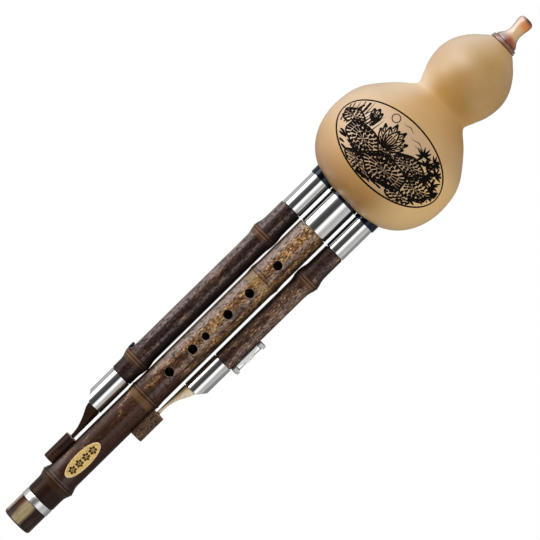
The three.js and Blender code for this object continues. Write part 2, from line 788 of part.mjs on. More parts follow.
// A group placed along X, with its pieces.
function placed(x, ...pieces) {
  const group = new THREE.Group();
  group.position.x = x;
  group.add(...pieces);
  return group;
}

const [longDrone, shortDrone] = drones;
const longPieces = [pluggedStem, droneSleeve, quill, ventPlug].map((make) => make(longDrone));
const shortMakers = [switchedStem, droneSleeve, quill, switchBracket, switchGuide, switchSlider, switchPad];
const shortPieces = shortMakers.map((make) => make(shortDrone));
const [lowerScrew, upperScrew] = switchPlaces(shortDrone).screws;
shortPieces.push(switchScrew(shortDrone, 'switch_screw_lower', lowerScrew));
shortPieces.push(switchScrew(shortDrone, 'switch_screw_upper', upperScrew));

const hulusi = new THREE.Group();
hulusi.add(mainPipe(), tailTip(), tailFerrule(), namePlate(), ...drones.map(quillBlock));
hulusi.add(gourdShell(), mouthCollar(), mouthpiece());
for (const place of socketPlaces) {
  hulusi.add(placed(place.x, socket(place), collar(place), reedBlock(place), reed(place)));
}
hulusi.add(placed(-leftSpacing, ...longPieces));
hulusi.add(placed(rightSpacing, ...shortPieces));

export default hulusi;
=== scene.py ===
"""The looks of a hulusi, a gourd flute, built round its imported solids. In metres, +Z up the main pipe."""

import math

import bmesh
import bpy
import numpy as np
from mathutils import Matrix, Vector


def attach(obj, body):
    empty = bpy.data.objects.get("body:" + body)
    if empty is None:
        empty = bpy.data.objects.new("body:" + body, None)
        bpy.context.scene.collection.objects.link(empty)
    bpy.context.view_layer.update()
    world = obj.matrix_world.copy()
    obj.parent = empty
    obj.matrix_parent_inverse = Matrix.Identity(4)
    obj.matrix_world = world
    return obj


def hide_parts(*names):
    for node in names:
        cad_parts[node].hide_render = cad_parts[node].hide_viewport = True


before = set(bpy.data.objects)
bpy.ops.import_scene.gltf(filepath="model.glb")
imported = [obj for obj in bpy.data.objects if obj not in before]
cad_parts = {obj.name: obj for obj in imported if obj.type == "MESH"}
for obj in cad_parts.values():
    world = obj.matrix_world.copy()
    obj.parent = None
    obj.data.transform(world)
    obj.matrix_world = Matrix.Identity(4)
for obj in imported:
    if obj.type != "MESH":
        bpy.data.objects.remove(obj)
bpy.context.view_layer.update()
mm = 0.001

# Camera, floor and studio light. The camera stands far off, square to the finger holes, and is rolled so that the
# flute lies across the picture from its tail, lower left, to its mouthpiece, upper right. The light is a white
# room with a dark strip at the camera, a soft key lamp from the long drone's side and a broad fill from the other.
roll = math.radians(44.46)
aim = Vector((-1.38 * mm, 0.0, 214.9 * mm))
camera_distance = 2.5
view_width = 0.324
lens_data = bpy.data.cameras.new("camera")
lens_data.sensor_width = 36.0
lens_data.lens = lens_data.sensor_width * camera_distance / view_width
lens_data.clip_end = 30.0
camera = bpy.data.objects.new("camera", lens_data)
picture_right = Vector((math.sin(roll), 0.0, math.cos(roll)))
picture_up = Vector((-math.cos(roll), 0.0, math.sin(roll)))
towards_camera = Vector((0.0, -1.0, 0.0))
turn = Matrix((picture_right, picture_up, towards_camera)).transposed().to_4x4()
camera.matrix_world = Matrix.Translation(aim + camera_distance * towards_camera) @ turn
bpy.context.scene.collection.objects.link(camera)
bpy.context.scene.camera = camera
bpy.context.scene.view_settings.view_transform = "Standard"


class Wire:
    """A socket of the node tree that is being made, so that shader maths is written as Python expressions."""

    tree = None

    def __init__(self, socket):
        self.socket = socket

    @classmethod
    def node(cls, kind, settings=None, sockets=None, output=0):
        """A node of a type: its settings first, a ramp's stops among them, then its sockets' values or links."""
        made = cls.tree.nodes.new("ShaderNode" + kind)
        for name, value in (settings or {}).items():
            if name == "stops":
                stops = made.color_ramp.elements
                stops.remove(stops[1])
                stops[0].position = value[0][0]
                stops[0].color = (*value[0][1], 1.0)
                for at, colour in value[1:]:
                    stops.new(at).color = (*colour, 1.0)
            else:
                setattr(made, name, value)
        for name, value in (sockets or {}).items():
            socket = made.inputs[name]
            if isinstance(value, Wire):
                cls.tree.links.new(value.socket, socket)
            elif socket.type == "RGBA":
                socket.default_value = (*value, 1.0)
            else:
                socket.default_value = value
        return cls(made.outputs[output])

    @classmethod
    def maths(cls, operation, *values):
        return cls.node("Math", {"operation": operation}, dict(enumerate(values)))

    def __add__(self, other):
        return Wire.maths("ADD", self, other)

    def __radd__(self, other):
        return Wire.maths("ADD", other, self)

    def __sub__(self, other):
        return Wire.maths("SUBTRACT", self, other)

    def __rsub__(self, other):
        return Wire.maths("SUBTRACT", other, self)

    def __mul__(self, other):
        return Wire.maths("MULTIPLY", self, other)

    def __rmul__(self, other):
        return Wire.maths("MULTIPLY", other, self)

    def __truediv__(self, other):
        return Wire.maths("DIVIDE", self, other)

    def __abs__(self):
        return Wire.maths("ABSOLUTE", self)

    def rise(self, low, high):
        """0 below low, 1 above high and a smooth rise between them."""
        limits = {"From Min": low, "From Max": high}
        return Wire.node("MapRange", {"interpolation_type": "SMOOTHSTEP"}, {"Value": self, **limits})

    def band(self, middle, half_width, fade):
        """1 within half a width of the middle, and 0 a fade further out."""
        return 1.0 - abs(self - middle).rise(half_width, half_width + fade)


def mixed(first, second, share):
    """The first colour, with a share of the second."""
    return Wire.node("Mix", {"data_type": "RGBA"}, {0: share, 6: first, 7: second}, output=2)


def ramp(share, stops):
    """Colours along a share, from stops that are each a place and a colour, or a grey given as one number."""
    stops = [(at, colour if isinstance(colour, tuple) else (colour,) * 3) for at, colour in stops]
    return Wire.node("ValToRGB", {"stops": stops}, {0: share})


studio = bpy.data.worlds.new("studio")
studio.use_nodes = True
studio.node_tree.nodes.clear()
Wire.tree = studio.node_tree
bpy.context.scene.world = studio
direction = Wire.node("TexCoord", output="Generated")
east, south, rise_up = (Wire.node("SeparateXYZ", sockets={0: direction}, output=axis) for axis in "XYZ")
bearing = Wire.maths("ARCTAN2", east, 0.0 - south) / (2 * math.pi) + 0.5
# Brightness by bearing, 0.5 at the camera and rising towards the short drone's side
room_stops = (
    (0.00, 0.25), (0.10, 0.45), (0.16, 0.60), (0.235, 0.45), (0.255, 0.80), (0.28, 4.00), (0.335, 4.00),
    (0.36, 0.70), (0.385, 0.14), (0.42, 0.08), (0.49, 0.06), (0.512, 0.14), (0.535, 1.20), (0.575, 1.40),
    (0.60, 0.95), (0.625, 0.60), (0.65, 0.48), (0.70, 0.56), (0.735, 0.70), (0.765, 0.40), (0.81, 0.30),
    (0.90, 0.25), (1.00, 0.25),
)
# Brightness overhead and underfoot, from the long drone's side to the short one's
overhead_stops = ((0.0, 1.7), (0.5, 0.1), (1.0, 0.9))
around, overhead = ramp(bearing, room_stops), ramp(east * 0.5 + 0.5, overhead_stops)
room = mixed(around, overhead, abs(rise_up).rise(0.25, 0.6))
seen = Wire.node("Background", sockets={"Color": (1.0, 1.0, 1.0), "Strength": 1.0})
lit = Wire.node("Background", sockets={"Color": room, "Strength": 1.0})
to_camera = Wire.node("LightPath", output="Is Camera Ray")
backdrop = Wire.node("MixShader", sockets={0: to_camera, 1: lit, 2: seen})
world_end = Wire.tree.nodes.new("ShaderNodeOutputWorld")
Wire.tree.links.new(backdrop.socket, world_end.inputs["Surface"])

# A key lamp from the long drone's side, and a broad fill from the other side that shows in no reflection
for name, way, size, away, energy in (
    ("key", (-0.66, -0.70, 0.34), 0.9, 1.7, 10.5), ("fill", (0.9, -0.4, -0.25), 1.6, 2.0, 32.0),
):
    lamp_data = bpy.data.lights.new(name, "AREA")
    lamp_data.shape = "DISK"
    lamp_data.size = size
    lamp_data.energy = energy
    lamp = bpy.data.objects.new(name, lamp_data)
    way = Vector(way).normalized()
    lamp.rotation_mode = "QUATERNION"
    lamp.rotation_quaternion = way.to_track_quat("Z", "Y")
    lamp.location = aim + away * way
    lamp.visible_glossy = name == "key"
    bpy.context.scene.collection.objects.link(lamp)


def new_finish(name):
    """An empty material, whose nodes are made next."""
    made = bpy.data.materials.new(name)
    made.use_nodes = True
    made.node_tree.nodes.clear()
    Wire.tree = made.node_tree
    return made


def close_finish(sockets, shader="BsdfPrincipled"):
    """Ends the material being made with its shader."""
    surface = Wire.node(shader, sockets=sockets)
    end = Wire.tree.nodes.new("ShaderNodeOutputMaterial")
    Wire.tree.links.new(surface.socket, end.inputs["Surface"])


sharp_edge = 38.0


def add_mesh(name, points, faces, finish, sharp=sharp_edge):
    """A piece from points and faces, facing outwards, smooth but for edges sharper than an angle in degrees."""
    mesh = bpy.data.meshes.new(name)
    mesh.from_pydata(np.asarray(points).reshape(-1, 3).tolist(), [], faces)
    work = bmesh.new()
    work.from_mesh(mesh)
    bmesh.ops.recalc_face_normals(work, faces=work.faces)
    work.to_mesh(mesh)
    work.free()
    mesh.shade_smooth()
    mesh.set_sharp_from_angle(angle=math.radians(sharp))
    mesh.materials.append(finish)
    piece = bpy.data.objects.new(name, mesh)
    bpy.context.scene.collection.objects.link(piece)
    return piece


floor_white = new_finish("floor_white")
close_finish({"Color": (1.0, 1.0, 1.0), "Strength": 1.0}, "Emission")
floor_reach = 8.0
floor_corners = [(a * floor_reach, b * floor_reach, -mm) for a, b in ((-1, -1), (1, -1), (1, 1), (-1, 1))]
floor = add_mesh("floor", floor_corners, [(0, 1, 2, 3)], floor_white)
floor.visible_diffuse = False
floor.visible_glossy = False

# Main pipe. A length of black bamboo, bored through, with turned-down ends, six finger holes in front, and a thumb
# hole and two vent holes behind. Its skin is polished and mottled, with a ring at each of its three nodes. A node
# is its height, swelling and reach, a hole its height and radius, and a tenon its radius and length.
stem_foot = 20.4 * mm
shoulder = 249.6 * mm
pipe_radius = 10.0 * mm
pipe_bore = 6.5 * mm
pipe_nodes = ((35.3, 1.7, 3.3), (109.1, 0.5, 3.0), (208.8, 0.6, 3.0))
finger_holes = ((220.0, 2.95), (196.4, 2.95), (178.3, 2.95), (159.75, 2.45), (148.75, 2.95), (129.3, 2.95))
back_holes = ((236.1, 2.8), (96.0, 2.2), (82.3, 2.2))
tail_tenon = (8.2 * mm, 17.1 * mm)
top_tenon = (8.65 * mm, 22.0 * mm)


def together(*parts):
    """Arrays of one coordinate each, as one array of points."""
    return np.stack(parts, axis=-1)


def round_angles(count):
    """Angles once round, in equal steps."""
    return np.linspace(0.0, 2 * math.pi, count, endpoint=False)


def surface(name, points, finish, ring=False, sharp=sharp_edge):
    """A closed piece from a grid of points, rows by columns. Its columns close round, and its rows either close
    round as well or end in flat caps."""
    rows, columns = points.shape[:2]
    number = np.arange(rows * columns).reshape(rows, columns)
    ahead = np.roll(number, -1, axis=0) if ring else number[1:]
    here = number if ring else number[:-1]
    quads = together(here, np.roll(here, -1, axis=1), np.roll(ahead, -1, axis=1), ahead)
    faces = quads.reshape(-1, 4).tolist()
    if not ring:
        faces += [number[0].tolist(), number[-1].tolist()]
    return add_mesh(name, points, faces, finish, sharp)


def turned(outline, sides=96, x=0.0):
    """Points of an outline of radii and heights carried round an upright axis: x + r cos a, r sin a, height."""
    radius, height = np.asarray(outline, float).T[:, :, None]
    angle = round_angles(sides)
    return together(x + radius * np.cos(angle), radius * np.sin(angle), height + 0 * angle)


def eased(corners, setback, steps=4):
    """A closed outline whose corners are bent: each is the parabola between the points a setback from it on its
    two sides, (1-s)^2 a + 2(1-s)s corner + s^2 b."""
    corner = np.asarray(corners, float)
    setback = np.broadcast_to(np.asarray(setback, float), corner.shape[:1])[:, None]
    before, after = np.roll(corner, 1, axis=0) - corner, np.roll(corner, -1, axis=0) - corner
    start = corner + before / np.linalg.norm(before, axis=1, keepdims=True) * setback
    end = corner + after / np.linalg.norm(after, axis=1, keepdims=True) * setback
    s = np.linspace(0.0, 1.0, steps + 1)[:, None, None]
    bent = (1 - s) ** 2 * start + 2 * (1 - s) * s * corner + s ** 2 * end
    return bent.transpose(1, 0, 2).reshape(-1, 2)


def stem_side(radius, foot, nodes):
    """Radii and heights up a bamboo stem to the shoulder. The radius has a bell curve of its swelling at each node,
    a fine ridge at its ring and a groove on either side, and falls away over the last millimetre at both ends."""
    row_height = 0.45 * mm
    height = np.linspace(foot, shoulder, round((shoulder - foot) / row_height))
    side = np.full_like(height, radius)
    for middle, swell, node_reach in nodes:
        away = (height - middle * mm) / mm
        side += mm * swell * np.exp(-((away / node_reach) ** 2))
        side += mm * (0.16 * np.exp(-((away / 0.45) ** 2)) - 0.2 * np.exp(-(((np.abs(away) - 1.15) / 0.4) ** 2)))
    from_end = np.minimum(height - foot, shoulder - height) / mm
    side -= 0.45 * mm * np.clip(1.0 - from_end, 0.0, 1.0) ** 2
    return together(side, height)


def bamboo_pipe(name, finish, radius, bore, foot, nodes, lower_tenon, upper_tenon, x=0.0):
    """A bamboo pipe: its closed outline carried round, the skin out of round by a few hundredths, as
    0.06 sin(2a + 1) + 0.03 sin(3a + z / 30) mm."""
    end, top = foot - lower_tenon[1], shoulder + upper_tenon[1]
    lower = [(bore, end), (lower_tenon[0], end), (lower_tenon[0], foot)]
    upper = [(upper_tenon[0], shoulder), (upper_tenon[0], top), (bore, top)]
    outline = np.concatenate([lower, stem_side(radius, foot, nodes), upper])
    points = turned(outline)
    angle = round_angles(points.shape[1])
    skin = (outline[:, 0] > 0.93 * radius)[:, None]
    uneven = 0.06 * np.sin(2 * angle + 1.0) + 0.03 * np.sin(3 * angle + outline[:, 1:] / (30 * mm))
    points[..., :2] *= (1.0 + skin * uneven * mm / radius)[..., None]
    points[..., 0] += x
    return surface(name, points, finish, ring=True)


def in_mm(stretch=1.0, shift=(0.0, 0.0, 0.0)):
    """The piece's own coordinates in millimetres, with the height drawn out by a stretch."""
    place = Wire.node("TexCoord", output="Object")
    scale = (1 / mm, 1 / mm, 1 / mm / stretch)
    return Wire.node("Mapping", sockets={"Vector": place, "Scale": scale, "Location": shift})


def places(axes="XYZ"):
    """The piece's own X, Y and Z in millimetres, or those of them that are named."""
    return [Wire.node("SeparateXYZ", sockets={0: in_mm()}, output=axis) for axis in axes]


def noise(vector, size, detail=3.0, twist=0.0):
    """Noise about 0.5, with patches of a size in the vector's units."""
    sockets = {"Vector": vector, "Scale": 1.0 / size, "Detail": detail, "Distortion": twist}
    return Wire.node("TexNoise", sockets=sockets)


def raised(height, depth, strength):
    """The surface's normal with a height of 0 to 1 worked into it, a depth in metres deep."""
    return Wire.node("Bump", sockets={"Strength": strength, "Distance": depth, "Height": height})


def dimmed(colour, times):
    """A colour with all its parts multiplied by a number."""
    return tuple(times * part for part in colour)


def layered(colour, *layers):
    """A colour under layers in turn, each of them another colour and its share."""
    for over, share in layers:
        colour = mixed(colour, over, share)
    return colour


def bamboo_finish(name, rings, base, light, warm, cover, painted_shade=(), painted_sheen=(), dense=(), drawn=3.2):
    """Polished black bamboo: a streaked and speckled dark skin under fine worm-like lines and crumbs, light or warm
    in colour. Cover gives the share of the skin that they take at heights in mm. Each ring is a height, half width
    and fade in mm, a colour and its share. Each painted shade is two places along X in mm, between which the skin
    is darkened as painted shade, and each painted sheen a place, half width and fade along X where the pipe's front
    is painted greyer as a painted highlight, that highlight's share, and the heights where it starts and is full.
    Each dense is such a place where the cover is more, and drawn is the stretch of the marks along the pipe."""
    made = new_finish(name)
    across, depth, height = places()
    fibres = noise(in_mm(30.0), 0.45, 4.0)
    slow = noise(in_mm(3.0, (7.0, 3.0, 11.0)), 4.2, 3.0)
    tint = noise(in_mm(1.6, (2.0, 13.0, 4.0)), 1.6, 2.0)
    squiggle = noise(in_mm(drawn), 0.85, 3.0, 0.7)
    crumbs = noise(in_mm(drawn, (31.0, 17.0, 5.0)), 0.6, 3.0, 0.4)
    grain = noise(in_mm(2.2, (5.0, 23.0, 9.0)), 0.8, 2.5)
    stem_top = 250.0
    share = ramp(height / stem_top, [(at / stem_top, part) for at, part in cover])
    for middle, half_width, fade, more in dense:
        share = share + across.band(middle, half_width, fade) * more
    near = (0.75 * slow + 0.125 + share).rise(0.9, 1.08)
    lines = 1.0 - abs(squiggle - 0.5).rise(0.015, 0.04)
    marks = Wire.maths("MAXIMUM", lines, crumbs.rise(0.53, 0.56) * 0.9) * near
    # Both the marks and the skin under them are duller towards the tail
    flecks = layered(
        light, (warm, tint.rise(0.4, 0.56)), (dimmed(warm, 0.35), 0.8 - 0.8 * grain.rise(0.42, 0.53)),
        (dimmed(warm, 0.4), 0.7 - 0.7 * height.rise(60.0, 112.0)),
    )
    colour = layered(
        dimmed(base, 0.35), (dimmed(base, 1.8), grain.rise(0.36, 0.62) * fibres.rise(0.3, 0.6)),
        (dimmed(base, 0.5), 0.8 - 0.8 * height.rise(60.0, 115.0)),
        (dimmed(base, 0.25), 0.85 - 0.85 * height.rise(26.0, 44.0)),
    )
    # Painted highlights: greyer, speckled bands down the pipe's front, where its polish would reflect the bright room
    for middle, half_width, fade, sheen_strength, none_at, full_at in painted_sheen:
        sheen_share = across.band(middle, half_width, fade) * height.rise(none_at, full_at) * sheen_strength
        sheen_share = sheen_share * (0.0 - depth).rise(-1.5, 2.5) * height.rise(32.0, 42.0)
        speckle = (grain.rise(0.4, 0.6) - 0.4) * height.rise(100.0, 130.0) + 0.4
        flecks = mixed(flecks, (0.42, 0.34, 0.3), sheen_share)
        colour = mixed(colour, mixed((0.035, 0.025, 0.025), (0.24, 0.19, 0.18), speckle), sheen_share)
    colour = mixed(colour, flecks, marks)
    for middle, half_width, fade, ring_colour, ring_share in rings:
        colour = mixed(colour, ring_colour, height.band(middle, half_width, fade) * ring_share)
    # Painted shade: the skin darkens between the given places, on the sides that face a neighbouring pipe
    for first, last in painted_shade:
        colour = mixed(colour, dimmed(base, 0.3), across.rise(first, last) * 0.85)
    close_finish({
        "Base Color": colour, "Roughness": 0.24 + 0.2 * grain, "Specular IOR Level": 0.17,
        "Specular Tint": (1.0, 0.78, 0.68), "Normal": raised(grain * 0.6 + marks * 0.7, 0.06 * mm, 0.7),
    })
    return made


scar = (0.012, 0.007, 0.005)
sheath = (0.13, 0.06, 0.028)
olive = (0.3, 0.19, 0.06)
main_rings = [
    (204.0, 2.0, 2.8, olive, 0.45), (105.5, 1.2, 2.2, (0.22, 0.12, 0.04), 0.42),
    (36.9, 0.3, 0.5, (0.09, 0.075, 0.08), 0.6), (32.4, 0.8, 2.4, (0.09, 0.042, 0.012), 0.28),
]
groove_off, groove_half_width, groove_fade, groove_share = 1.1, 0.15, 0.3, 0.9


def node_grooves(height):
    """The dark grooves above and below a node's ring."""
    return [(height + off, groove_half_width, groove_fade, scar, groove_share) for off in (-groove_off, groove_off)]


for ring_height in (35.0, 109.1, 208.8):
    main_rings += [(ring_height, 0.35, 0.35, sheath, 0.65), *node_grooves(ring_height)]
main_cover = (
    (30.0, 0.16), (45.0, 0.31), (100.0, 0.3), (119.0, 0.31), (130.0, 0.47), (150.0, 0.52), (215.0, 0.57),
    (249.0, 0.52),
)
main_bamboo = bamboo_finish(
    "main_bamboo", main_rings, (0.058, 0.022, 0.013), (0.92, 0.65, 0.33), (0.54, 0.255, 0.085), main_cover,
    # Painted shade on the pipe's right side and left edge, where the drones stand next to it
    [(5.0, 9.4), (-8.2, -9.7)],
    # Painted highlights: greyer bands on the pipe's front, from the tail to the upper holes
    [(-6.6, 0.9, 2.0, 0.85, 112.0, 145.0), (-7.6, 0.7, 1.4, 0.5, 98.0, 116.0), (3.0, 0.6, 1.6, 0.55, 96.0, 120.0),
     (2.4, 0.6, 1.4, 0.22, 112.0, 96.0), (-7.6, 0.5, 1.4, 0.38, 112.0, 92.0), (-7.2, 0.8, 2.0, 0.7, 50.0, 44.0),
     (3.6, 0.9, 2.0, 0.4, 54.0, 46.0)],
    [(-7.2, 1.0, 1.5, 0.13), (-2.6, 1.2, 2.2, 0.06), (5.6, 1.6, 2.2, -0.02)],
)


def grained_finish(name, first, second, rough, more_rough, size=0.5, detail=2.0, share=(0.35, 0.65), stretch=1.0,
                   relief=None, sockets=None):
    """Two tones parted by a fine grain: its size is in mm, and the second tone takes over between the limits of
    share. The grain adds to the roughness, and relief gives the depth in mm and the strength of its bumps."""
    made = new_finish(name)
    grain = noise(in_mm(stretch), size, detail)
    shader = {"Base Color": mixed(first, second, grain.rise(*share)), "Roughness": rough}
    if more_rough:
        shader["Roughness"] = rough + more_rough * grain
    if relief:
        shader["Normal"] = raised(grain, relief[0] * mm, relief[1])
    close_finish({**shader, **(sockets or {})})
    return made


cut_bamboo = grained_finish("cut_bamboo", (0.06, 0.022, 0.012), (0.11, 0.045, 0.025), 0.6, 0.1)
hole_rim = grained_finish("hole_rim", (0.48, 0.38, 0.3), (0.64, 0.53, 0.42), 0.35, 0.1)
drill_sides = 40


def drill(name, x, outward, height, radius, inner, skin, finish, flare=0.45 * mm):
    """A cutter for a hole square to a pipe. It runs along Y, or along X where outward is one of the X ways, from
    inside the bore out past the skin, and it flares by a quarter circle just under the skin."""
    quarter = np.linspace(0.0, math.pi / 2, 5)
    mouth = together(radius + flare * (1 - np.cos(quarter)), skin - flare * (1 - np.sin(quarter)))
    outline = np.concatenate([[(radius, inner)], mouth, [(radius + flare, skin + 3 * mm)]])
    across, up, out = np.moveaxis(turned(outline, drill_sides), -1, 0)
    x_way, y_way = outward
    points = together(x + x_way * out + y_way * across, y_way * out + x_way * across, height + up)
    cutter = surface(name, points, finish)
    cutter.data.materials.append(hole_rim)
    row = np.arange(len(cutter.data.polygons)) // drill_sides
    cutter.data.polygons.foreach_set("material_index", ((row > 0) & (row < len(quarter))).astype(np.int32))
    return cutter


def cut(piece, cutters):
    """Cuts the cutters from a piece with one Boolean each, applied, and takes the cutters away."""
    for cutter in cutters:
        change = piece.modifiers.new("cut", "BOOLEAN")
        change.operation = "DIFFERENCE"
        change.solver = "EXACT"
        change.material_mode = "TRANSFER"
        change.object = cutter
    bpy.context.view_layer.update()
    whole = piece.evaluated_get(bpy.context.evaluated_depsgraph_get())
    piece.modifiers.clear()
    piece.data = bpy.data.meshes.new_from_object(whole)
    piece.data.name = piece.name
    piece.data.shade_smooth()
    piece.data.set_sharp_from_angle(angle=math.radians(sharp_edge))
    for cutter in cutters:
        bpy.data.objects.remove(cutter)


main_pipe = bamboo_pipe(
    "pipe_bamboo", main_bamboo, pipe_radius, pipe_bore, stem_foot, pipe_nodes, tail_tenon, top_tenon,
)
front, behind = (0.0, -1.0), (0.0, 1.0)
holes = [(front, *hole) for hole in finger_holes] + [(behind, *hole) for hole in back_holes]
drill_start, drill_skin = 3.5 * mm, pipe_radius + 0.02 * mm
cut(main_pipe, [
    drill(f"hole_{place}", 0.0, way, height * mm, radius * mm, drill_start, drill_skin, cut_bamboo)
    for place, (way, height, radius) in enumerate(holes)
])
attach(main_pipe, "pipe")
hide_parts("main_pipe")

# Tail tip and ferrule. The tip is a turned sleeve of streaked dark horn with a lip over the bamboo's end, and a
# plain bright metal ring covers the joint between the two.
horn = new_finish("horn")
horn_x, horn_z = places("XZ")
horn_streaks = noise(in_mm(9.0, (3.0, 0.0, 0.0)), 1.6, 4.0, 0.8)
horn_waver = noise(in_mm(2.0), 5.0, 2.0) - 0.5
pale_streak = (horn_x + 2.0 * horn_waver).band(-1.4, 1.9, 2.6)
amber_streak = (horn_x + 1.5 * horn_waver).band(-6.0, 1.0, 1.6) * horn_z.rise(3.0, 13.0)
# A painted highlight: a pale band along the horn's far left edge, where it would catch the light at a grazing angle
painted_edge_highlight = (horn_x + horn_waver).band(-9.6, 0.5, 0.9) * horn_z.rise(1.0, 4.0)
pale_horn = mixed((0.29, 0.22, 0.115), (0.39, 0.305, 0.175), horn_streaks.rise(0.36, 0.64))
horn_colour = layered(
    (0.015, 0.009, 0.006), ((0.055, 0.032, 0.021), horn_streaks.rise(0.4, 0.62)),
    ((0.06, 0.012, 0.001), amber_streak * 0.9), (pale_horn, pale_streak), ((0.4, 0.34, 0.28), painted_edge_highlight * 0.7),
)
horn_colour = mixed((0.02, 0.013, 0.01), horn_colour, horn_z.rise(0.3, 1.5) * 0.9 + 0.1)
close_finish({
    "Base Color": horn_colour, "Roughness": 0.22 + 0.08 * horn_streaks, "Specular IOR Level": 0.09,
    "Normal": raised(horn_streaks, 0.03 * mm, 0.3),
})
tip_corners = [(6.5, 0.0), (9.9, 0.0), (9.9, 15.0), (8.5, 15.0), (8.5, 3.0), (6.5, 3.0)]
tip_outline = eased(np.multiply(tip_corners, mm), np.multiply([0.3, 2.0, 0.3, 0.1, 0.1, 0.1], mm), 6)
tail_tip = surface("tail_horn", turned(tip_outline), horn, ring=True)
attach(tail_tip, "pipe")
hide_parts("tail_tip")


def metal_finish(name, stretch, rough, colour=(0.82, 0.81, 0.795), metallic=1.0, painted_reflection_share=None):
    """Bright drawn metal: a polished surface with fine lines along it, or round it where the stretch is small, a
    little brighter and duller by turns. The last argument works out from X in mm how much of the metal is darkened by
    painted reflections."""
    made = new_finish(name)
    lines = noise(in_mm(stretch), 0.22, 4.0)
    smear = noise(in_mm(2.0), 5.0, 3.0)
    tone = mixed(dimmed(colour, 0.86), colour, lines.rise(0.3, 0.6))
    # Painted reflections darken the metal by the share that the last argument gives
    if painted_reflection_share:
        tone = mixed(tone, dark_metal, painted_reflection_share(places("X")[0]))
    close_finish({
        "Base Color": tone, "Metallic": metallic, "Roughness": rough + 0.04 * lines + 0.03 * smear,
        "Normal": raised(lines, 0.003 * mm, 0.3),
    })
    return made


# The dark of the tubes' painted reflections, of the bracket's painted shade and of the screws' painted slot shade
dark_metal = (0.02, 0.018, 0.016)
turned_metal = metal_finish("turned_metal", 0.12, 0.27)
ferrule_corners = np.multiply([(8.5, 15.3), (10.1, 15.3), (10.1, 20.1), (8.5, 20.1)], mm)
ferrule = surface("tail_ring", turned(eased(ferrule_corners, 0.35 * mm)), turned_metal, ring=True)
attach(ferrule, "pipe")
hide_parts("tail_ferrule")

# Plate. A thin gilt oval, pressed with a rim and a plain row of four rosettes, bent round the pipe and glued on. Its
# ground and rim are bright, and the petals are filled in dark.
plate_middle = 55.47 * mm
plate_half = np.array([5.2, 14.2]) * mm
plate_inner = 10.3 * mm
plate_outer = 10.98 * mm
plate_turn = math.radians(7.2)
rosettes = np.array([-8.4, -2.8, 2.8, 8.4]) * mm


def plate_relief(share, across, up):
    """The plate's pressing, from 0 to 1 in the dark petals and beads of the rosettes, and -1 on the bright rim. A
    rosette's petals end at 2.4 + 0.35 cos(6 way) mm and lie 0.08 mm off the lines between them."""
    from_middle = (up[..., None] - rosettes) / mm
    nearest = np.take_along_axis(from_middle, np.abs(from_middle).argmin(-1)[..., None], -1)[..., 0]
    out, way = np.hypot(across / mm, nearest), np.arctan2(nearest, across / mm)
    parted = np.clip((out * np.abs(np.cos(3 * way)) / 3 - 0.08) / 0.1, 0, 1) * np.clip((out - 0.7) / 0.12, 0, 1)
    petals = np.clip((2.4 + 0.35 * np.cos(6 * way) - out) / 0.15, 0, 1) * parted
    return np.maximum(petals, np.clip((0.5 - out) / 0.12, 0, 1)) - np.clip((share - 0.92) / 0.02, 0, 1)


def oval_plate(name, finish):
    """A bent oval: rings of 0 to 1 share of the oval and spokes round it, the outside raised by the pressing, then
    the edge and the same grid again behind. Across the plate becomes an angle round the pipe."""
    spoke = round_angles(180)
    edge_starts = 0.97
    share = np.concatenate([np.linspace(0.012, edge_starts, 44), [0.985, 0.996, 1.0]])[:, None]
    across, up = share * plate_half[0] * np.cos(spoke), share * plate_half[1] * np.sin(spoke)
    relief = plate_relief(share + 0 * spoke, across, up)
    edge = 0.18 * mm * np.clip((share - edge_starts) / (1 - edge_starts), 0, 1) ** 2
    outer = plate_outer - 0.2 * mm + 0.16 * mm * np.abs(relief) - edge
    across = np.concatenate([across, across[::-1]])
    up = np.concatenate([up, up[::-1]])
    radius = np.concatenate([outer, np.full_like(outer, plate_inner)])
    angle = plate_turn + across / plate_outer
    points = together(radius * np.sin(angle), -radius * np.cos(angle), plate_middle + up)
    made = surface(name, points, finish)
    store = made.data.attributes.new("relief", "FLOAT", "POINT")
    store.data.foreach_set("value", np.concatenate([relief, relief[::-1]]).ravel().astype(np.float32))
    return made


gilt = new_finish("gilt")
relief = Wire.node("Attribute", {"attribute_name": "relief"}, output="Fac")
gilt_wear = noise(in_mm(), 0.7, 4.0)
petal_share, rim_share = relief.rise(0.2, 0.6), (0.0 - relief).rise(0.2, 0.7)
gilt_colour = layered(
    (0.86, 0.6, 0.22), ((0.62, 0.39, 0.11), gilt_wear.rise(0.42, 0.62)), ((0.9, 0.76, 0.5), rim_share * 0.5),
    ((0.025, 0.014, 0.007), petal_share * 0.95),
)
close_finish({
    "Base Color": gilt_colour, "Metallic": 0.4 + 0.6 * petal_share - 0.3 * rim_share,
    "Roughness": 0.36 + 0.14 * gilt_wear, "Normal": raised(gilt_wear, 0.03 * mm, 0.3),
})
plate = oval_plate("gilt_oval", gilt)
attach(plate, "pipe")
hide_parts("name_plate")

# Blocks. Two short bamboo tubes, glued to the main pipe's sides, that the quills' tips stand in. Each is filed
# hollow on the inner side to fit the pipe, and its cut ends are paler than its skin.
left_block_skin = bamboo_finish(
    "left_block_skin", [], (0.036, 0.012, 0.008), (0.22, 0.1, 0.05), (0.22, 0.07, 0.03), ((0.0, 0.38), (250.0, 0.38)),
)
right_block_skin = bamboo_finish(
    "right_block_skin", [], (0.08, 0.046, 0.028), (0.26, 0.18, 0.105), (0.18, 0.1, 0.055), ((0.0, 0.5), (250.0, 0.5)),
)
block_ends = grained_finish("block_ends", (0.3, 0.19, 0.12), (0.62, 0.46, 0.33), 0.55, 0.1, 0.4, share=(0.35, 0.7))
block_wall = 1.2


def pipe_radius_at(height):
    """The main pipe's radius at a height."""
    side = stem_side(pipe_radius, stem_foot, pipe_nodes)
    return np.interp(height, side[:, 1], side[:, 0])


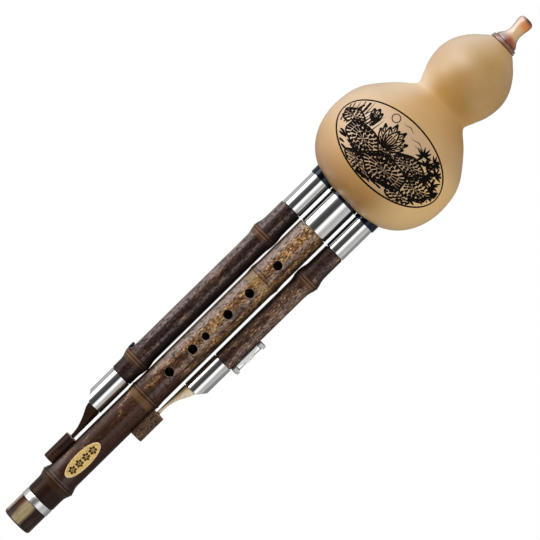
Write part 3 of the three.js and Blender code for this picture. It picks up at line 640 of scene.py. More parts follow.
def filed(points, clearance):
    """Points that lie nearer the main pipe's axis than its skin and a clearance are moved straight out to that."""
    out = np.hypot(points[..., 0], points[..., 1])
    grown = np.maximum(1.0, (pipe_radius_at(points[..., 2]) + clearance) / np.maximum(out, mm))
    return np.concatenate([points[..., :2] * grown[..., None], points[..., 2:]], axis=-1)


for name, skin, x, radius, low, high in (
    ("left_block", left_block_skin, -12.88, 4.4, 40.4, 60.0),
    ("right_block", right_block_skin, 12.89, 5.0, 87.2, 106.6),
):
    hollow = radius - block_wall
    outline = eased(np.multiply([(hollow, low), (radius, low), (radius, high), (hollow, high)], mm),
                    np.multiply([0.1, 0.9, 0.45, 0.1], mm))
    # The outer side runs between the second corner's bend and the third's, and gets rows enough to be filed
    side_foot = len(outline) // 2 - 1
    side_rows = np.linspace(outline[side_foot], outline[side_foot + 1], 40)[1:-1]
    outline = np.concatenate([outline[:side_foot + 1], side_rows, outline[side_foot + 1:]])
    points = turned(outline, x=x * mm)
    inner = outline[:, 0] < (radius - block_wall / 2) * mm
    points = np.where(inner[:, None, None], filed(points, 0.35 * mm), filed(points, 0.04 * mm))
    block = surface(name + "_bamboo", points, skin, ring=True)
    block.data.materials.append(block_ends)
    paler = [face.normal.z > 0.3 or face.normal.z < -0.8 for face in block.data.polygons]
    block.data.polygons.foreach_set("material_index", np.array(paler, np.int32))
    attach(block, "pipe")
    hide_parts(name)

# Gourd. A dried bottle gourd, hollow, scraped and sealed, with a hole in its base for each metal tube and one in
# its neck for the mouthpiece. Its skin is tan, and ochre in the waist and round the base.
gourd_base = 276.0 * mm
gourd_top = 408.3 * mm
belly_radius, belly_height = 45.5 * mm, 37.0 * mm
waist_radius, waist_height = 19.3 * mm, 81.4 * mm
bulb_radius, bulb_height = 25.7 * mm, 105.6 * mm
neck_radius = 9.2 * mm
gourd_wall = 3.0 * mm
upper_belly_shares = ((0.13, 0.985), (0.29, 0.935), (0.45, 0.82), (0.61, 0.625), (0.78, 0.375), (0.87, 0.21),
                      (0.93, 0.09), (0.968, 0.03))
lower_bulb_shares = ((0.0, 0.0), (0.06, 0.035), (0.12, 0.115), (0.2, 0.25), (0.33, 0.45), (0.52, 0.74), (0.74, 0.93))
upper_bulb_shares = ((0.0, 1.0), (0.2, 0.955), (0.34, 0.88), (0.47, 0.78), (0.61, 0.63), (0.74, 0.46), (0.88, 0.22),
                     (1.0, 0.0))
main_hole = 10.0 * mm
neck_bore = 6.0 * mm
left_x, right_x = -18.6 * mm, 18.3 * mm
tube_holes = ((left_x, 7.25 * mm), (right_x, 7.05 * mm))


def smooth_line(points, steps):
    """A smooth line through points: on each stretch the cubic whose slopes at its ends are half the chord between
    the neighbours of that end."""
    padded = np.concatenate([2 * points[:1] - points[1:2], points, 2 * points[-1:] - points[-2:-1]])
    a, b, c, d = padded[:-3], padded[1:-2], padded[2:-1], padded[3:]
    s = np.linspace(0.0, 1.0, steps, endpoint=False)[:, None, None]
    line = 0.5 * (2 * b + (c - a) * s + (2 * a - 5 * b + 4 * c - d) * s ** 2 + (3 * b - a - 3 * c + d) * s ** 3)
    return np.concatenate([line.transpose(1, 0, 2).reshape(-1, 2), points[-1:]])


def between(shares, low_radius, high_radius, low, high):
    """Points at shares of the way from a low to a high radius and height."""
    along, out = np.array(shares).T
    return together(low_radius + out * (high_radius - low_radius), low + along * (high - low))


def gourd_side():
    """Radii and heights up the gourd: the lower belly where (r / R)^3 + (1 - h / H)^2 = 1, then a smooth line
    through the points of the upper belly, the waist and the bulb to the neck."""
    start = math.asin((main_hole / belly_radius) ** 1.5)
    lean = np.linspace(start, math.pi / 2, 44)[:-1]
    lower = together(belly_radius * np.sin(lean) ** (2 / 3), gourd_base + belly_height * (1 - np.cos(lean)))
    belly_z, waist_z = gourd_base + belly_height, gourd_base + waist_height
    bulb_z = gourd_base + bulb_height
    upper = np.concatenate([
        [(belly_radius, belly_z)],
        between(upper_belly_shares, waist_radius, belly_radius, belly_z, waist_z),
        between(lower_bulb_shares, waist_radius, bulb_radius, waist_z, bulb_z),
        between(upper_bulb_shares, neck_radius, bulb_radius, bulb_z, gourd_top),
    ])
    return np.concatenate([lower, smooth_line(upper, 6)])


outer_side = gourd_side()
way = np.gradient(outer_side, axis=0)
way /= np.linalg.norm(way, axis=1, keepdims=True)
inner_side = outer_side + gourd_wall * together(-way[:, 1], way[:, 0])
inner_side = inner_side[(inner_side[:, 0] > neck_bore) & (inner_side[:, 1] < gourd_top - gourd_wall)]
inner_side[0, 0] = main_hole
neck_hole = [(neck_bore, gourd_top - 0.1 * mm), (neck_bore, gourd_top - gourd_wall)]
gourd_outline = np.concatenate([outer_side, [(neck_radius - 0.4 * mm, gourd_top)], neck_hole, inner_side[::-1]])

gourd_skin = new_finish("gourd_skin")
lay_x, lay_y, lay_z = places()
cloud = noise(in_mm(1.2), 26.0, 3.0)
blotch = noise(in_mm(1.6, (9.0, 2.0, 4.0)), 7.0, 4.0)
pores = noise(in_mm(), 0.9, 3.0)
across_oval, up_oval = (lay_x + 1.0) / 38.5, (lay_z - 314.0) / 22.9
from_oval = Wire.maths("SQRT", across_oval * across_oval + up_oval * up_oval)
sideways = lay_x / Wire.maths("SQRT", lay_x * lay_x + lay_y * lay_y)
# Painted sheen on the long drone's side, paler and greyer where a broad light from that side would reflect, and
# painted light on the base on the other side, a paler tan
left_sheen = (1.0 - sideways.rise(-0.95, -0.3)) * lay_z.rise(284.0, 322.0)
right_light = sideways.rise(0.2, 0.8) * (1.0 - lay_z.rise(320.0, 346.0))
upper_left_sheen = lay_z.rise(362.0, 394.0) * 0.28 + lay_z.rise(392.0, 404.0) * 0.2
gourd_tan = layered(
    (0.64, 0.4, 0.165),
    ((0.58, 0.345, 0.125), cloud.rise(0.35, 0.7)),
    ((0.5, 0.29, 0.1), lay_z.band(357.5, 5.0, 24.0) * (0.4 + 0.45 * sideways.rise(-1.0, 1.0))),
    ((0.41, 0.22, 0.045), lay_z.rise(362.0, 384.0) * (1.0 - 0.5 * lay_z.rise(392.0, 404.0)) * 0.8),
    ((0.42, 0.19, 0.02), (1.0 - lay_z.rise(280.0, 312.0)) * 0.85),
    ((0.54, 0.32, 0.12), blotch.rise(0.5, 0.75) * 0.25),
    ((0.55, 0.365, 0.215), (1.0 - from_oval.rise(0.86, 1.06)) * (0.0 - lay_y).rise(2.0, 12.0) * 0.8),
    # painted light on the base on the short drone's side
    ((0.78, 0.49, 0.18), right_light * 0.85),
    ((0.55, 0.29, 0.08), sideways.rise(0.2, 0.7) * lay_z.band(340.0, 4.0, 12.0) * 0.6),
    # painted sheen on the left of the bulb and the belly
    ((0.64, 0.48, 0.33), (1.0 - sideways.rise(-0.6, 0.4)) * upper_left_sheen),
    ((0.6, 0.455, 0.33), left_sheen * (0.62 - 0.15 * lay_z.band(374.0, 4.0, 9.0))),
    ((0.35, 0.17, 0.015), lay_z.band(369.0, 4.0, 13.0) * lay_x.band(2.0, 6.0, 17.0) * 0.6),
    # a painted highlight at the waist on the left
    ((0.8, 0.69, 0.53), left_sheen * lay_z.band(354.0, 5.0, 12.0) * 0.3),
    ((0.42, 0.25, 0.1), pores.rise(0.62, 0.72) * 0.14),
)
waist = 356.5
close_finish({
    "Base Color": gourd_tan, "Roughness": 0.42 + 0.1 * blotch + 0.4 * lay_z.band(waist, 4.0, 12.0),
    "Normal": raised(pores * 0.4 + blotch, 0.08 * mm, 0.2),
    "Coat Weight": 0.85 - 0.83 * lay_z.band(waist, 6.0, 12.0), "Coat Roughness": 0.45,
})
gourd = surface("gourd_body", turned(gourd_outline, 160), gourd_skin, ring=True)
cutter_ends = (270 * mm, 296 * mm)
cut(gourd, [
    surface(f"tube_hole_{place}", turned([(radius, end) for end in cutter_ends], 64, x), gourd_skin)
    for place, (x, radius) in enumerate(tube_holes)
])
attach(gourd, "gourd")
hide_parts("gourd_shell")

# Picture on the gourd. Raised strokes of dark ink inside an oval: a pond with round leaves, an open flower and a bud
# on stalks, canes with pointed leaves on the right, reeds on the left, a low sun, clouds and ripples.
ink = grained_finish("ink", (0.003, 0.002, 0.0015), (0.014, 0.008, 0.006), 0.6, 0.15, 1.2, 3.0, (0.45, 0.75),
                     sockets={"Specular IOR Level": 0.05})
ink_foot, ink_hidden, ink_proud = -0.12, -0.11, 0.07
picture_across, picture_height = -1.0, 313.9
picture_half = np.array([38.6, 22.8])
belly = outer_side[outer_side[:, 1] < 352.0 * mm] / mm
belly_slope = np.gradient(belly[:, 0], belly[:, 1])
line_meshes = []
covers = []


def shown(paths):
    """True where a point is inside the oval and not behind a leaf or petal that is already drawn. Each of these is
    in the covers as the middle, half sizes and tilt of its own oval."""
    clear = np.hypot(*(paths / (picture_half - 0.9)).transpose(2, 0, 1)) < 1.0
    for middle, half, tilt in covers:
        off = paths - np.asarray(middle)
        along = off[..., 0] * math.cos(tilt) + off[..., 1] * math.sin(tilt)
        aside = off[..., 1] * math.cos(tilt) - off[..., 0] * math.sin(tilt)
        clear &= np.hypot(along / half[0], aside / half[1]) > 1.0
    return clear


def draw(paths, widths, ring=False):
    """Lines on the gourd's skin. Each path is points across and up from the picture's middle in mm. A point goes
    straight back onto the skin, and the line's four edges lie half a width to either side and just in or out. A
    line that isn't a ring sinks thinly under the skin where it isn't shown."""
    paths = np.asarray(paths, float)
    seen_share = np.ones(paths.shape[:2]) if ring else shown(paths).astype(float)
    widths = (np.broadcast_to(widths, paths.shape[:2]) * (0.05 + 0.95 * seen_share))[..., None]
    up = picture_height + paths[..., 1]
    radius = np.interp(up, belly[:, 1], belly[:, 0])
    slope = np.interp(up, belly[:, 1], belly_slope)
    angle = np.arcsin(np.clip((picture_across + paths[..., 0]) / radius, -0.98, 0.98))
    place = together(radius * np.sin(angle), -radius * np.cos(angle), up)
    normal = together(np.sin(angle), -np.cos(angle), -slope)
    normal /= np.linalg.norm(normal, axis=-1, keepdims=True)
    ahead = np.roll(place, -1, 1) - np.roll(place, 1, 1) if ring else np.gradient(place, axis=1)
    side = np.cross(normal, ahead)
    side *= widths / 2 / np.maximum(np.linalg.norm(side, axis=-1, keepdims=True), 1e-9)
    low = ink_foot * normal
    high = (ink_hidden + (ink_proud - ink_hidden) * seen_share)[..., None] * normal
    edges = np.stack([place - side + low, place - side + high, place + side + high, place + side + low], axis=2)
    count, length = paths.shape[:2]
    number = np.arange(count * length * 4).reshape(count, length, 4)
    here = number if ring else number[:, :-1]
    beyond = np.roll(number, -1, axis=1) if ring else number[:, 1:]
    quads = together(here, np.roll(here, -1, 2), np.roll(beyond, -1, 2), beyond).reshape(-1, 4)
    if not ring:
        quads = np.concatenate([quads, number[:, 0], number[:, -1]])
    line_meshes.append((edges.reshape(-1, 3) * mm, quads))


def bunch(middle, way, length, bend, steps=12):
    """Curved lines from middles, in ways given by angles, each with a length and a sideways bend that grows as the
    square of the distance along it."""
    s = np.linspace(0.0, 1.0, steps)
    way, length, bend = (np.asarray(value, float)[:, None] for value in (way, length, bend))
    ahead, aside = together(np.cos(way), np.sin(way)), together(-np.sin(way), np.cos(way))
    return np.asarray(middle, float)[:, None] + (s * length)[..., None] * ahead + (s ** 2 * bend)[..., None] * aside


def round_leaf(middle, half, tilt, wedges):
    """A round leaf seen at a slant: a bold wavy edge, and dark wedges between pale veins, in three rows outwards. A
    wedge is the space between two veins, 2 pi s a b / (n |spoke|) wide, less the vein."""
    turn_leaf = np.array([[math.cos(tilt), math.sin(tilt)], [-math.sin(tilt), math.cos(tilt)]])

    def on_leaf(share, angle):
        wave = 1 + 0.05 * np.sin(5 * angle + middle[0])
        out = together(half[0] * share * wave * np.cos(angle), half[1] * share * wave * np.sin(angle))
        return np.asarray(middle) + out @ turn_leaf

    circle = np.linspace(0.0, 2 * math.pi, 121)
    draw(on_leaf(1.0, circle)[None], 1.1)
    rows = ((0.03, 0.38, wedges // 3, 0.26), (0.405, 0.69, 2 * wedges // 3, 0.28), (0.715, 0.97, wedges, 0.3))
    for low, high, count, vein in rows:
        spread = round_angles(count)[:, None]
        s = np.linspace(low, high, 9)
        spoke = np.hypot(half[0] * np.cos(spread), half[1] * np.sin(spread))
        gap = 2 * math.pi * s * half[0] * half[1] / (count * spoke)
        draw(on_leaf(s, spread + 0.3 * s ** 2), np.maximum(gap - vein, 0.3))
    covers.append((middle, np.asarray(half) * 1.04, tilt))


def petal(foot, way, length, width):
    """A pointed petal: two sides that part as the sine of the way along, a vein, and short strokes at its foot."""
    s = np.linspace(0.0, 1.0, 14)
    cosine, sine = math.cos(way), math.sin(way)
    for share, reach, line in ((-1.0, 1.0, 1.0), (1.0, 1.0, 1.0), (0.0, 1.0, 0.7), (-0.5, 0.6, 0.9), (0.5, 0.6, 0.9)):
        along = reach * s
        off = share * width / 2 * np.sin(math.pi * along ** 0.85)
        across, up = foot[0] + length * along * cosine - off * sine, foot[1] + length * along * sine + off * cosine
        draw(together(across, up)[None], line)
    middle = (foot[0] + 0.52 * length * cosine, foot[1] + 0.52 * length * sine)
    covers.append((middle, np.array([0.44 * length, 0.5 * width]), way))


def oval(middle, half, angle):
    """Points at angles round an upright oval."""
    return together(middle[0] + half[0] * np.cos(angle), middle[1] + half[1] * np.sin(angle))[None]


# The oval's rim, the open flower with its nearest petals first, the bud, the round leaves and their stalks
draw(oval((0.0, 0.0), picture_half, round_angles(260)), 1.2, ring=True)
flower_foot, bud_foot = (-5.0, 0.0), (-21.0, 6.0)
for way, length, width in (
    (1.57, 13.0, 5.6), (2.05, 12.5, 5.2), (1.09, 12.5, 5.2), (2.55, 11.5, 4.8), (0.59, 11.5, 4.8), (1.81, 15.5, 4.6),
    (1.33, 15.5, 4.6), (2.3, 14.0, 4.2), (0.84, 14.0, 4.2),
):
    petal(flower_foot, way, length, width)
for way, length, width in ((1.75, 8.5, 3.8), (2.15, 7.6, 3.4), (1.35, 7.6, 3.4)):
    petal(bud_foot, way, length, width)
for leaf in (
    ((4.5, -10.0), (15.0, 8.0), 0.06, 27), ((-17.5, -5.5), (12.5, 7.2), -0.14, 24),
    ((25.0, -5.0), (10.5, 6.2), 0.3, 21), ((13.0, 2.0), (9.8, 5.6), 0.2, 21), ((-30.5, 0.5), (6.4, 4.8), 0.3, 15),
    ((-9.0, -17.5), (11.0, 4.0), -0.1, 21), ((20.5, -14.5), (8.0, 4.2), 0.2, 15), ((-1.0, -1.5), (9.0, 4.5), 0.1, 18),
):
    round_leaf(*leaf)
draw(bunch([flower_foot, bud_foot, (12.5, 1.5)], [-1.5, -1.75, -1.6], [8.0, 9.0, 12.0], [0.8, -1.2, 1.2]), 0.8)

# Canes on the right with fans of pointed leaves at their nodes, widest a third of the way along
chance = np.random.default_rng(11)
canes = bunch([(20.0, -6.0), (31.0, -8.0)], [1.3, 1.75], [21.0, 20.0], [1.0, 0.8], 16)
draw(canes, 0.6)
fans = [(20.5, 9.5, 1.5), (25.0, 5.0, -0.3), (31.0, 3.5, 0.3), (28.5, 9.5, 1.9), (23.0, 14.0, 0.6),
        (33.0, -2.0, -0.9), (15.5, 12.5, 2.4), (34.5, 2.0, -1.4), (24.5, 1.5, 1.2)]
fan_ways = np.array([-1.9, -1.3, -0.75, -0.25, 0.3, 0.8, 1.35, 1.9])
count = len(fan_ways)
for across, up, way in fans:
    ways = way + fan_ways + chance.normal(0.0, 0.1, count)
    lengths, bends = chance.uniform(4.4, 6.8, count), chance.uniform(-0.8, 0.8, count)
    leaves = bunch(np.tile([(across, up)], (count, 1)), ways, lengths, bends)
    draw(leaves, 1.5 * np.sin(math.pi * np.linspace(0.0, 1.0, 12) ** 0.7) ** 0.8 + 0.05)

# Reeds on the left, the sun and clouds, and ripples between the leaves
count = 24
roots = together(np.linspace(-36.0, -20.0, count), chance.uniform(-7.0, 0.0, count))
lengths, bends = chance.uniform(9.0, 19.0, count), chance.normal(0.0, 2.4, count)
reeds = bunch(roots, np.linspace(1.9, 1.2, count), lengths, bends)
draw(reeds, 1.0 * (1 - np.linspace(0.0, 1.0, 12)) ** 0.7 + 0.1)
draw(reeds[1::5, 6:], 1.7)
draw(oval((-12.0, 17.0), (2.6, 2.6), np.linspace(0.0, 2 * math.pi, 61)), 0.6)
for across, up, width in ((-2.0, 18.5, 9.0), (8.0, 15.5, 12.0), (11.0, 13.6, 8.0)):
    sway = np.linspace(-0.5, 0.5, 30)
    draw(together(across + sway * width, up + 0.5 * np.cos(9 * sway))[None], 0.5 * (1.1 - 2 * np.abs(sway)))
count = 110
starts = together(chance.uniform(-32.0, 30.0, count), chance.uniform(-22.0, -3.0, count))
ways, lengths = chance.normal(0.0, 0.05, count), chance.uniform(3.0, 8.0, count)
ripples = bunch(starts, ways, lengths, chance.uniform(-0.4, 0.4, count))
draw(ripples, 1.3 * np.sin(math.pi * np.linspace(0.0, 1.0, 12)) ** 0.5 + 0.1)

starts = np.cumsum([0] + [len(points) for points, _ in line_meshes])
line_points = np.concatenate([points for points, _ in line_meshes])
line_faces = np.concatenate([faces + start for (_, faces), start in zip(line_meshes, starts)])
picture = add_mesh("gourd_picture", line_points, line_faces.tolist(), ink)
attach(picture, "gourd")

# Mouthpiece. A turned tube of clouded amber resin on a spigot in the gourd's neck, flared at its foot, with a
# collar of two rounded rings under it, darker and redder.
mouth_foot = 411.6 * mm
mouth_length = 19.0 * mm
spigot_end = 398.3 * mm
mouth_shares = ((0.0, 7.5), (0.05, 7.4), (0.12, 6.6), (0.24, 5.0), (0.41, 4.1), (0.56, 4.3), (0.74, 4.8), (0.85, 5.0),
                (0.93, 4.65), (0.975, 3.9), (1.0, 2.9))


def resin_finish(name, left_stops, right_stops):
    """Clear resin, painted paler towards the long drone's side as a painted highlight: on each side, colours by
    height in mm over the collar's foot, with a few soft wisps along it. Both of its edges carry painted shade."""
    made = new_finish(name)
    across, depth, height = places()
    sideways = across / Wire.maths("SQRT", across * across + depth * depth)
    wisps = noise(in_mm(4.0), 3.5, 2.0, 0.4)
    waver = wisps - 0.5
    foot, whole = 408.3, 22.3
    share = (height - foot + 1.6 * waver) / whole
    left, right = (ramp(share, [(up / whole, colour) for up, colour in stops]) for stops in (left_stops, right_stops))
    # The pale left ramp is a painted highlight, and the darker bands at both edges are painted shade
    colour = layered(
        left, (right, (across + 1.5 * waver).rise(-4.0, 1.2)), ((0.25, 0.15, 0.09), sideways.rise(0.7, 1.0) * 0.6),
        ((0.16, 0.1, 0.09), (0.0 - sideways).rise(0.8, 0.98) * 0.8),
    )
    close_finish({
        "Base Color": colour, "Roughness": 0.22 + 0.06 * wisps, "Coat Weight": 0.5, "Coat Roughness": 0.1,
        "Normal": raised(wisps, 0.02 * mm, 0.1),
    })
    return made


resin = resin_finish("amber_resin", (
    (3.0, (0.34, 0.22, 0.2)), (6.0, (0.46, 0.33, 0.29)), (9.0, (0.78, 0.62, 0.5)), (14.0, (0.8, 0.6, 0.47)),
    (20.0, (0.7, 0.48, 0.4)), (22.0, (0.45, 0.25, 0.18)),
), (
    (2.8, (0.1, 0.02, 0.006)), (4.8, (0.3, 0.06, 0.012)), (6.8, (0.45, 0.16, 0.05)), (8.6, (0.66, 0.4, 0.2)),
    (13.5, (0.66, 0.42, 0.2)), (16.8, (0.7, 0.22, 0.025)), (19.5, (0.55, 0.15, 0.02)), (21.0, (0.1, 0.025, 0.01)),
))
ring_resin = resin_finish("ring_resin", (
    (0.3, (0.16, 0.06, 0.045)), (0.9, (0.2, 0.08, 0.06)), (1.4, (0.6, 0.42, 0.36)), (1.9, (0.6, 0.42, 0.36)),
    (2.4, (0.2, 0.1, 0.08)),
), (
    (0.3, (0.1, 0.03, 0.012)), (0.9, (0.12, 0.03, 0.012)), (1.4, (0.42, 0.2, 0.1)), (1.9, (0.42, 0.2, 0.1)),
    (2.4, (0.12, 0.03, 0.012)),
))
mouth_top = mouth_foot + mouth_length
mouth_along, mouth_radius = np.array(mouth_shares).T
mouth_side = smooth_line(together(mouth_radius * mm, mouth_foot + mouth_along * mouth_length), 7)
mouth_lip = [(2.5 * mm, mouth_top), (2.1 * mm, mouth_top - 0.1 * mm), (2.0 * mm, mouth_top - 0.6 * mm)]
mouth_spigot = [(2.0 * mm, spigot_end), (5.7 * mm, spigot_end), (5.7 * mm, mouth_foot)]
mouth_outline = np.concatenate([mouth_side, mouth_lip, mouth_spigot])
mouthpiece = surface("mouth_tube", turned(mouth_outline), resin, ring=True)
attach(mouthpiece, "gourd")
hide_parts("mouthpiece")

collar_corners = [(6.0, 408.45), (8.6, 408.45), (9.15, 408.8), (9.15, 409.7), (8.0, 409.95), (8.85, 410.2),
                  (8.85, 410.9), (8.3, 411.3), (6.0, 411.3)]
collar_setbacks = [0.1, 0.25, 0.3, 0.3, 0.15, 0.25, 0.25, 0.2, 0.1]
collar_outline = eased(np.multiply(collar_corners, mm), np.multiply(collar_setbacks, mm))
mouth_collar = surface("mouth_rings", turned(collar_outline), ring_resin, ring=True)
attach(mouth_collar, "gourd")
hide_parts("mouthpiece_collar")

# Metal tubes and their collars. Each tube is pushed up through the gourd's base, and its black lacquered collar
# follows the gourd's underside and closes the joint.
def painted_gap_reflections(across):
    """Painted reflections: the tubes' edges next to one another are darkened as mirrors of the dark gaps between
    them, and so are a streak on the main tube and on the long drone's.
    """
    edges = abs(across).band(9.4, 0.4, 0.3) + abs(across).band(12.0, 0.45, 0.3)
    return edges * 0.88 + across.band(7.9, 0.4, 0.4) * 0.6 + across.band(-13.5, 0.15, 0.3) * 0.5


# The tubes' metal carries painted reflections of the gaps between them
tube_metal = metal_finish("tube_metal", 60.0, 0.04, painted_reflection_share=painted_gap_reflections)
lacquer = grained_finish(
    "black_lacquer", (0.001, 0.002, 0.006), (0.003, 0.006, 0.014), 0.05, 0.06, 1.4, 3.0, (0.4, 0.7),
    relief=(0.01, 0.2), sockets={"Specular IOR Level": 0.4, "Specular Tint": (0.6, 0.76, 1.0)},
)
socket_top = 303.0 * mm
collar_foot = 274.2 * mm
metal_wall = 0.8 * mm
metal_sides = 128
joint_gap = 0.3 * mm


def gourd_underside(x, y):
    """Height of the gourd's skin over a place, from (r / R)^3 + (1 - h / H)^2 = 1."""
    share = np.clip(np.hypot(x, y) / belly_radius, 0.0, 0.999)
    return gourd_base + belly_height * (1 - np.sqrt(1 - share ** 3))


for name, x, radius in (("main", 0.0, 9.75 * mm), ("left", left_x, 7.0 * mm), ("right", right_x, 6.8 * mm)):
    low = shoulder + joint_gap
    corners = [(radius - metal_wall, low), (radius, low), (radius, socket_top), (radius - metal_wall, socket_top)]
    tube = surface(name + "_tube", turned(eased(corners, 0.22 * mm), metal_sides, x), tube_metal, ring=True)
    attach(tube, "gourd")
    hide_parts(name + "_socket")

    inner, outer = radius + 0.12 * mm, radius + 0.7 * mm
    bend = [(outer - 0.2 * mm, 0.0), (outer - 0.06 * mm, 0.02), (outer, 0.08)]
    points = turned([(inner, 0.0), *bend, (outer, 1.0), (inner, 1.0)], metal_sides, x)
    top = gourd_underside(points[..., 0], points[..., 1]) + 0.15 * mm
    points[..., 2] = collar_foot + points[..., 2] * (top - collar_foot)
    collar = surface(name + "_lacquer_ring", points, lacquer, ring=True)
    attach(collar, "gourd")
    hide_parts(name + "_collar")

# Reed blocks and reeds, inside the gourd. The blocks are turned from wood and the reeds cut from brass plate. Both
# keep their solids' shapes and get only a finish.
reed_wood = grained_finish("reed_wood", (0.36, 0.22, 0.1), (0.58, 0.4, 0.21), 0.55, 0.15, 0.8, 4.0, stretch=9.0)
reed_brass = grained_finish("reed_brass", (0.52, 0.36, 0.14), (0.68, 0.5, 0.24), 0.28, 0.15, 0.15, 3.0, stretch=20.0,
                            sockets={"Metallic": 1.0})
for name in ("main", "left", "right"):
    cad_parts[name + "_reed_block"].material_slots[0].material = reed_wood
    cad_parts[name + "_reed"].material_slots[0].material = reed_brass

# Drones. Two thinner lengths of black bamboo, darker than the main pipe, whose nodes are filed where they pass it.
# The long one has a plugged vent hole, and the short one a flat and a port for its switch.
def drone_rings(nodes):
    """A drone's rings: at each node a reddish band, a brown line between two dark grooves, and a thin golden line."""
    rings = []
    for middle, _, _ in nodes:
        rings += [(middle - 1.6, 1.6, 2.2, (0.11, 0.045, 0.022), 0.7), (middle, 0.45, 0.3, (0.15, 0.075, 0.04), 0.7)]
        rings += [*node_grooves(middle), (middle - 1.8, 0.12, 0.3, (0.28, 0.17, 0.08), 0.6)]
    return rings


vent_height = 123.94 * mm
port_height = 166.8 * mm
switch_foot, switch_top = 156.3 * mm, 181.5 * mm
left_nodes = ((120.65, 1.78, 3.7), (227.5, 1.48, 4.29))
right_nodes = ((226.8, 1.66, 4.39),)
left_bamboo = bamboo_finish(
    "left_bamboo", drone_rings(left_nodes), (0.024, 0.013, 0.012), (0.36, 0.2, 0.09), (0.2, 0.065, 0.026),
    # Cover, then painted shade on the long drone's side that faces the main pipe
    ((106.0, 0.38), (190.0, 0.45), (250.0, 0.34)), [(-17.2, -14.3)],
    # Painted highlights on the long drone's front
    [(-24.2, 1.2, 1.4, 0.85, 104.0, 150.0), (-16.4, 0.5, 1.3, 0.5, 108.0, 120.0)], drawn=6.0,
)
right_bamboo = bamboo_finish(
    "right_bamboo", drone_rings(right_nodes), (0.034, 0.016, 0.013), (0.48, 0.32, 0.2), (0.28, 0.125, 0.065),
    # Cover, then painted shade on the short drone's side that faces the main pipe and at its outer edge
    ((156.0, 0.46), (215.0, 0.52), (235.0, 0.3)), [(17.5, 13.0), (23.6, 25.8)],
    # A painted highlight on the short drone's front, then more cover right of its middle and less left of it
    [(21.6, 1.0, 1.8, 0.3, 100.0, 110.0)], [(22.6, 1.4, 1.8, 0.12), (17.2, 0.8, 1.6, -0.03)], drawn=5.0,
)


def block_points(low, high):
    """The corners of a straight block between its lowest and highest, four at each of its ends in X."""
    ends = np.array([[(a, b, c) for b, c in ((0, 0), (1, 0), (1, 1), (0, 1))] for a in (0, 1)])
    return np.where(ends == 1, high, low)


for name, finish, x, radius, bore, foot, nodes, lower_radius, upper_radius in (
    ("left_drone", left_bamboo, left_x, 7.4, 4.5, 106.8, left_nodes, 6.1, 5.9),
    ("right_drone", right_bamboo, right_x, 6.65, 4.0, 156.0, right_nodes, 5.7, 5.7),
):
    tenons = (lower_radius * mm, 10.8 * mm), (upper_radius * mm, 22.0 * mm)
    drone = bamboo_pipe(name + "_bamboo", finish, radius * mm, bore * mm, foot * mm, nodes, *tenons, x)
    points = np.zeros(len(drone.data.vertices) * 3, np.float32)
    drone.data.vertices.foreach_get("co", points)
    points = points.reshape(-1, 3)
    out = np.hypot(points[:, 0] - x, points[:, 1])
    moved = np.where((out > 0.9 * radius * mm)[:, None], filed(points, 0.6 * mm), points)
    drone.data.vertices.foreach_set("co", moved.ravel().astype(np.float32))
    if name == "left_drone":
        hole = drill("vent_hole", x, (-1.0, 0.0), vent_height, 2.0 * mm, 3 * mm, 6.5 * mm, cut_bamboo, 0.1 * mm)
        seat = drill("vent_seat", x, (-1.0, 0.0), vent_height, 2.8 * mm, 7.7 * mm, 8.3 * mm, left_bamboo, 0.1 * mm)
        cut(drone, [hole, seat])
    else:
        low, high = (x + 6.5 * mm, -9 * mm, switch_foot), (x + 12 * mm, 9 * mm, switch_top)
        flat = surface("switch_flat", block_points(low, high), cut_bamboo)
        port = drill("switch_port", x, (1.0, 0.0), port_height, 1.1 * mm, 2 * mm, 6.6 * mm, cut_bamboo, 0.1 * mm)
        cut(drone, [flat, port])
    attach(drone, name)
    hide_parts(name + "_pipe")

# Plug in the long drone's vent. A black lacquered peg with a domed head, turned in one piece and pushed into a seat
# cut in the bamboo, so that it can be pulled out.
def turned_sideways(outline, sides, x, way, height):
    """An outline of radii and places out from a drone's axis, in mm, carried round an axis along X at a height."""
    points = turned(np.multiply(outline, mm), sides)
    return together(x + way * points[..., 2], points[..., 0], height + points[..., 1])


small_edge = 30.0
plug_outline = [(0.2, 4.5), (1.5, 4.5), (1.7, 4.8), (1.7, 8.0), (2.25, 8.0), (2.5, 8.15), (2.5, 9.0), (2.3, 9.35),
                (1.5, 9.58), (0.5, 9.6)]
peg = turned_sideways(plug_outline, 48, left_x, -1, vent_height)
plug = surface("vent_peg", peg, lacquer, sharp=small_edge)
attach(plug, "left_plug")
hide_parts("left_vent_plug")

# Sleeves and quills. Each drone ends in a bright sleeve cut at a slant, and in it stands a quill carved to a thin
# blade, whose tip reaches into its block. The long drone's quill is dark bamboo and the short one's is pale.
edge_shares = ((0.0, 0.31), (0.06, 0.3), (0.15, 0.22), (0.25, 0.08), (0.41, -0.16), (0.59, -0.37), (0.76, -0.52),
               (1.0, -0.61))
width_shares = ((0.0, 0.95), (0.25, 0.76), (0.5, 0.52), (0.75, 0.36), (1.0, 0.26))
drawn_metal = metal_finish("drawn_metal", 60.0, 0.04)


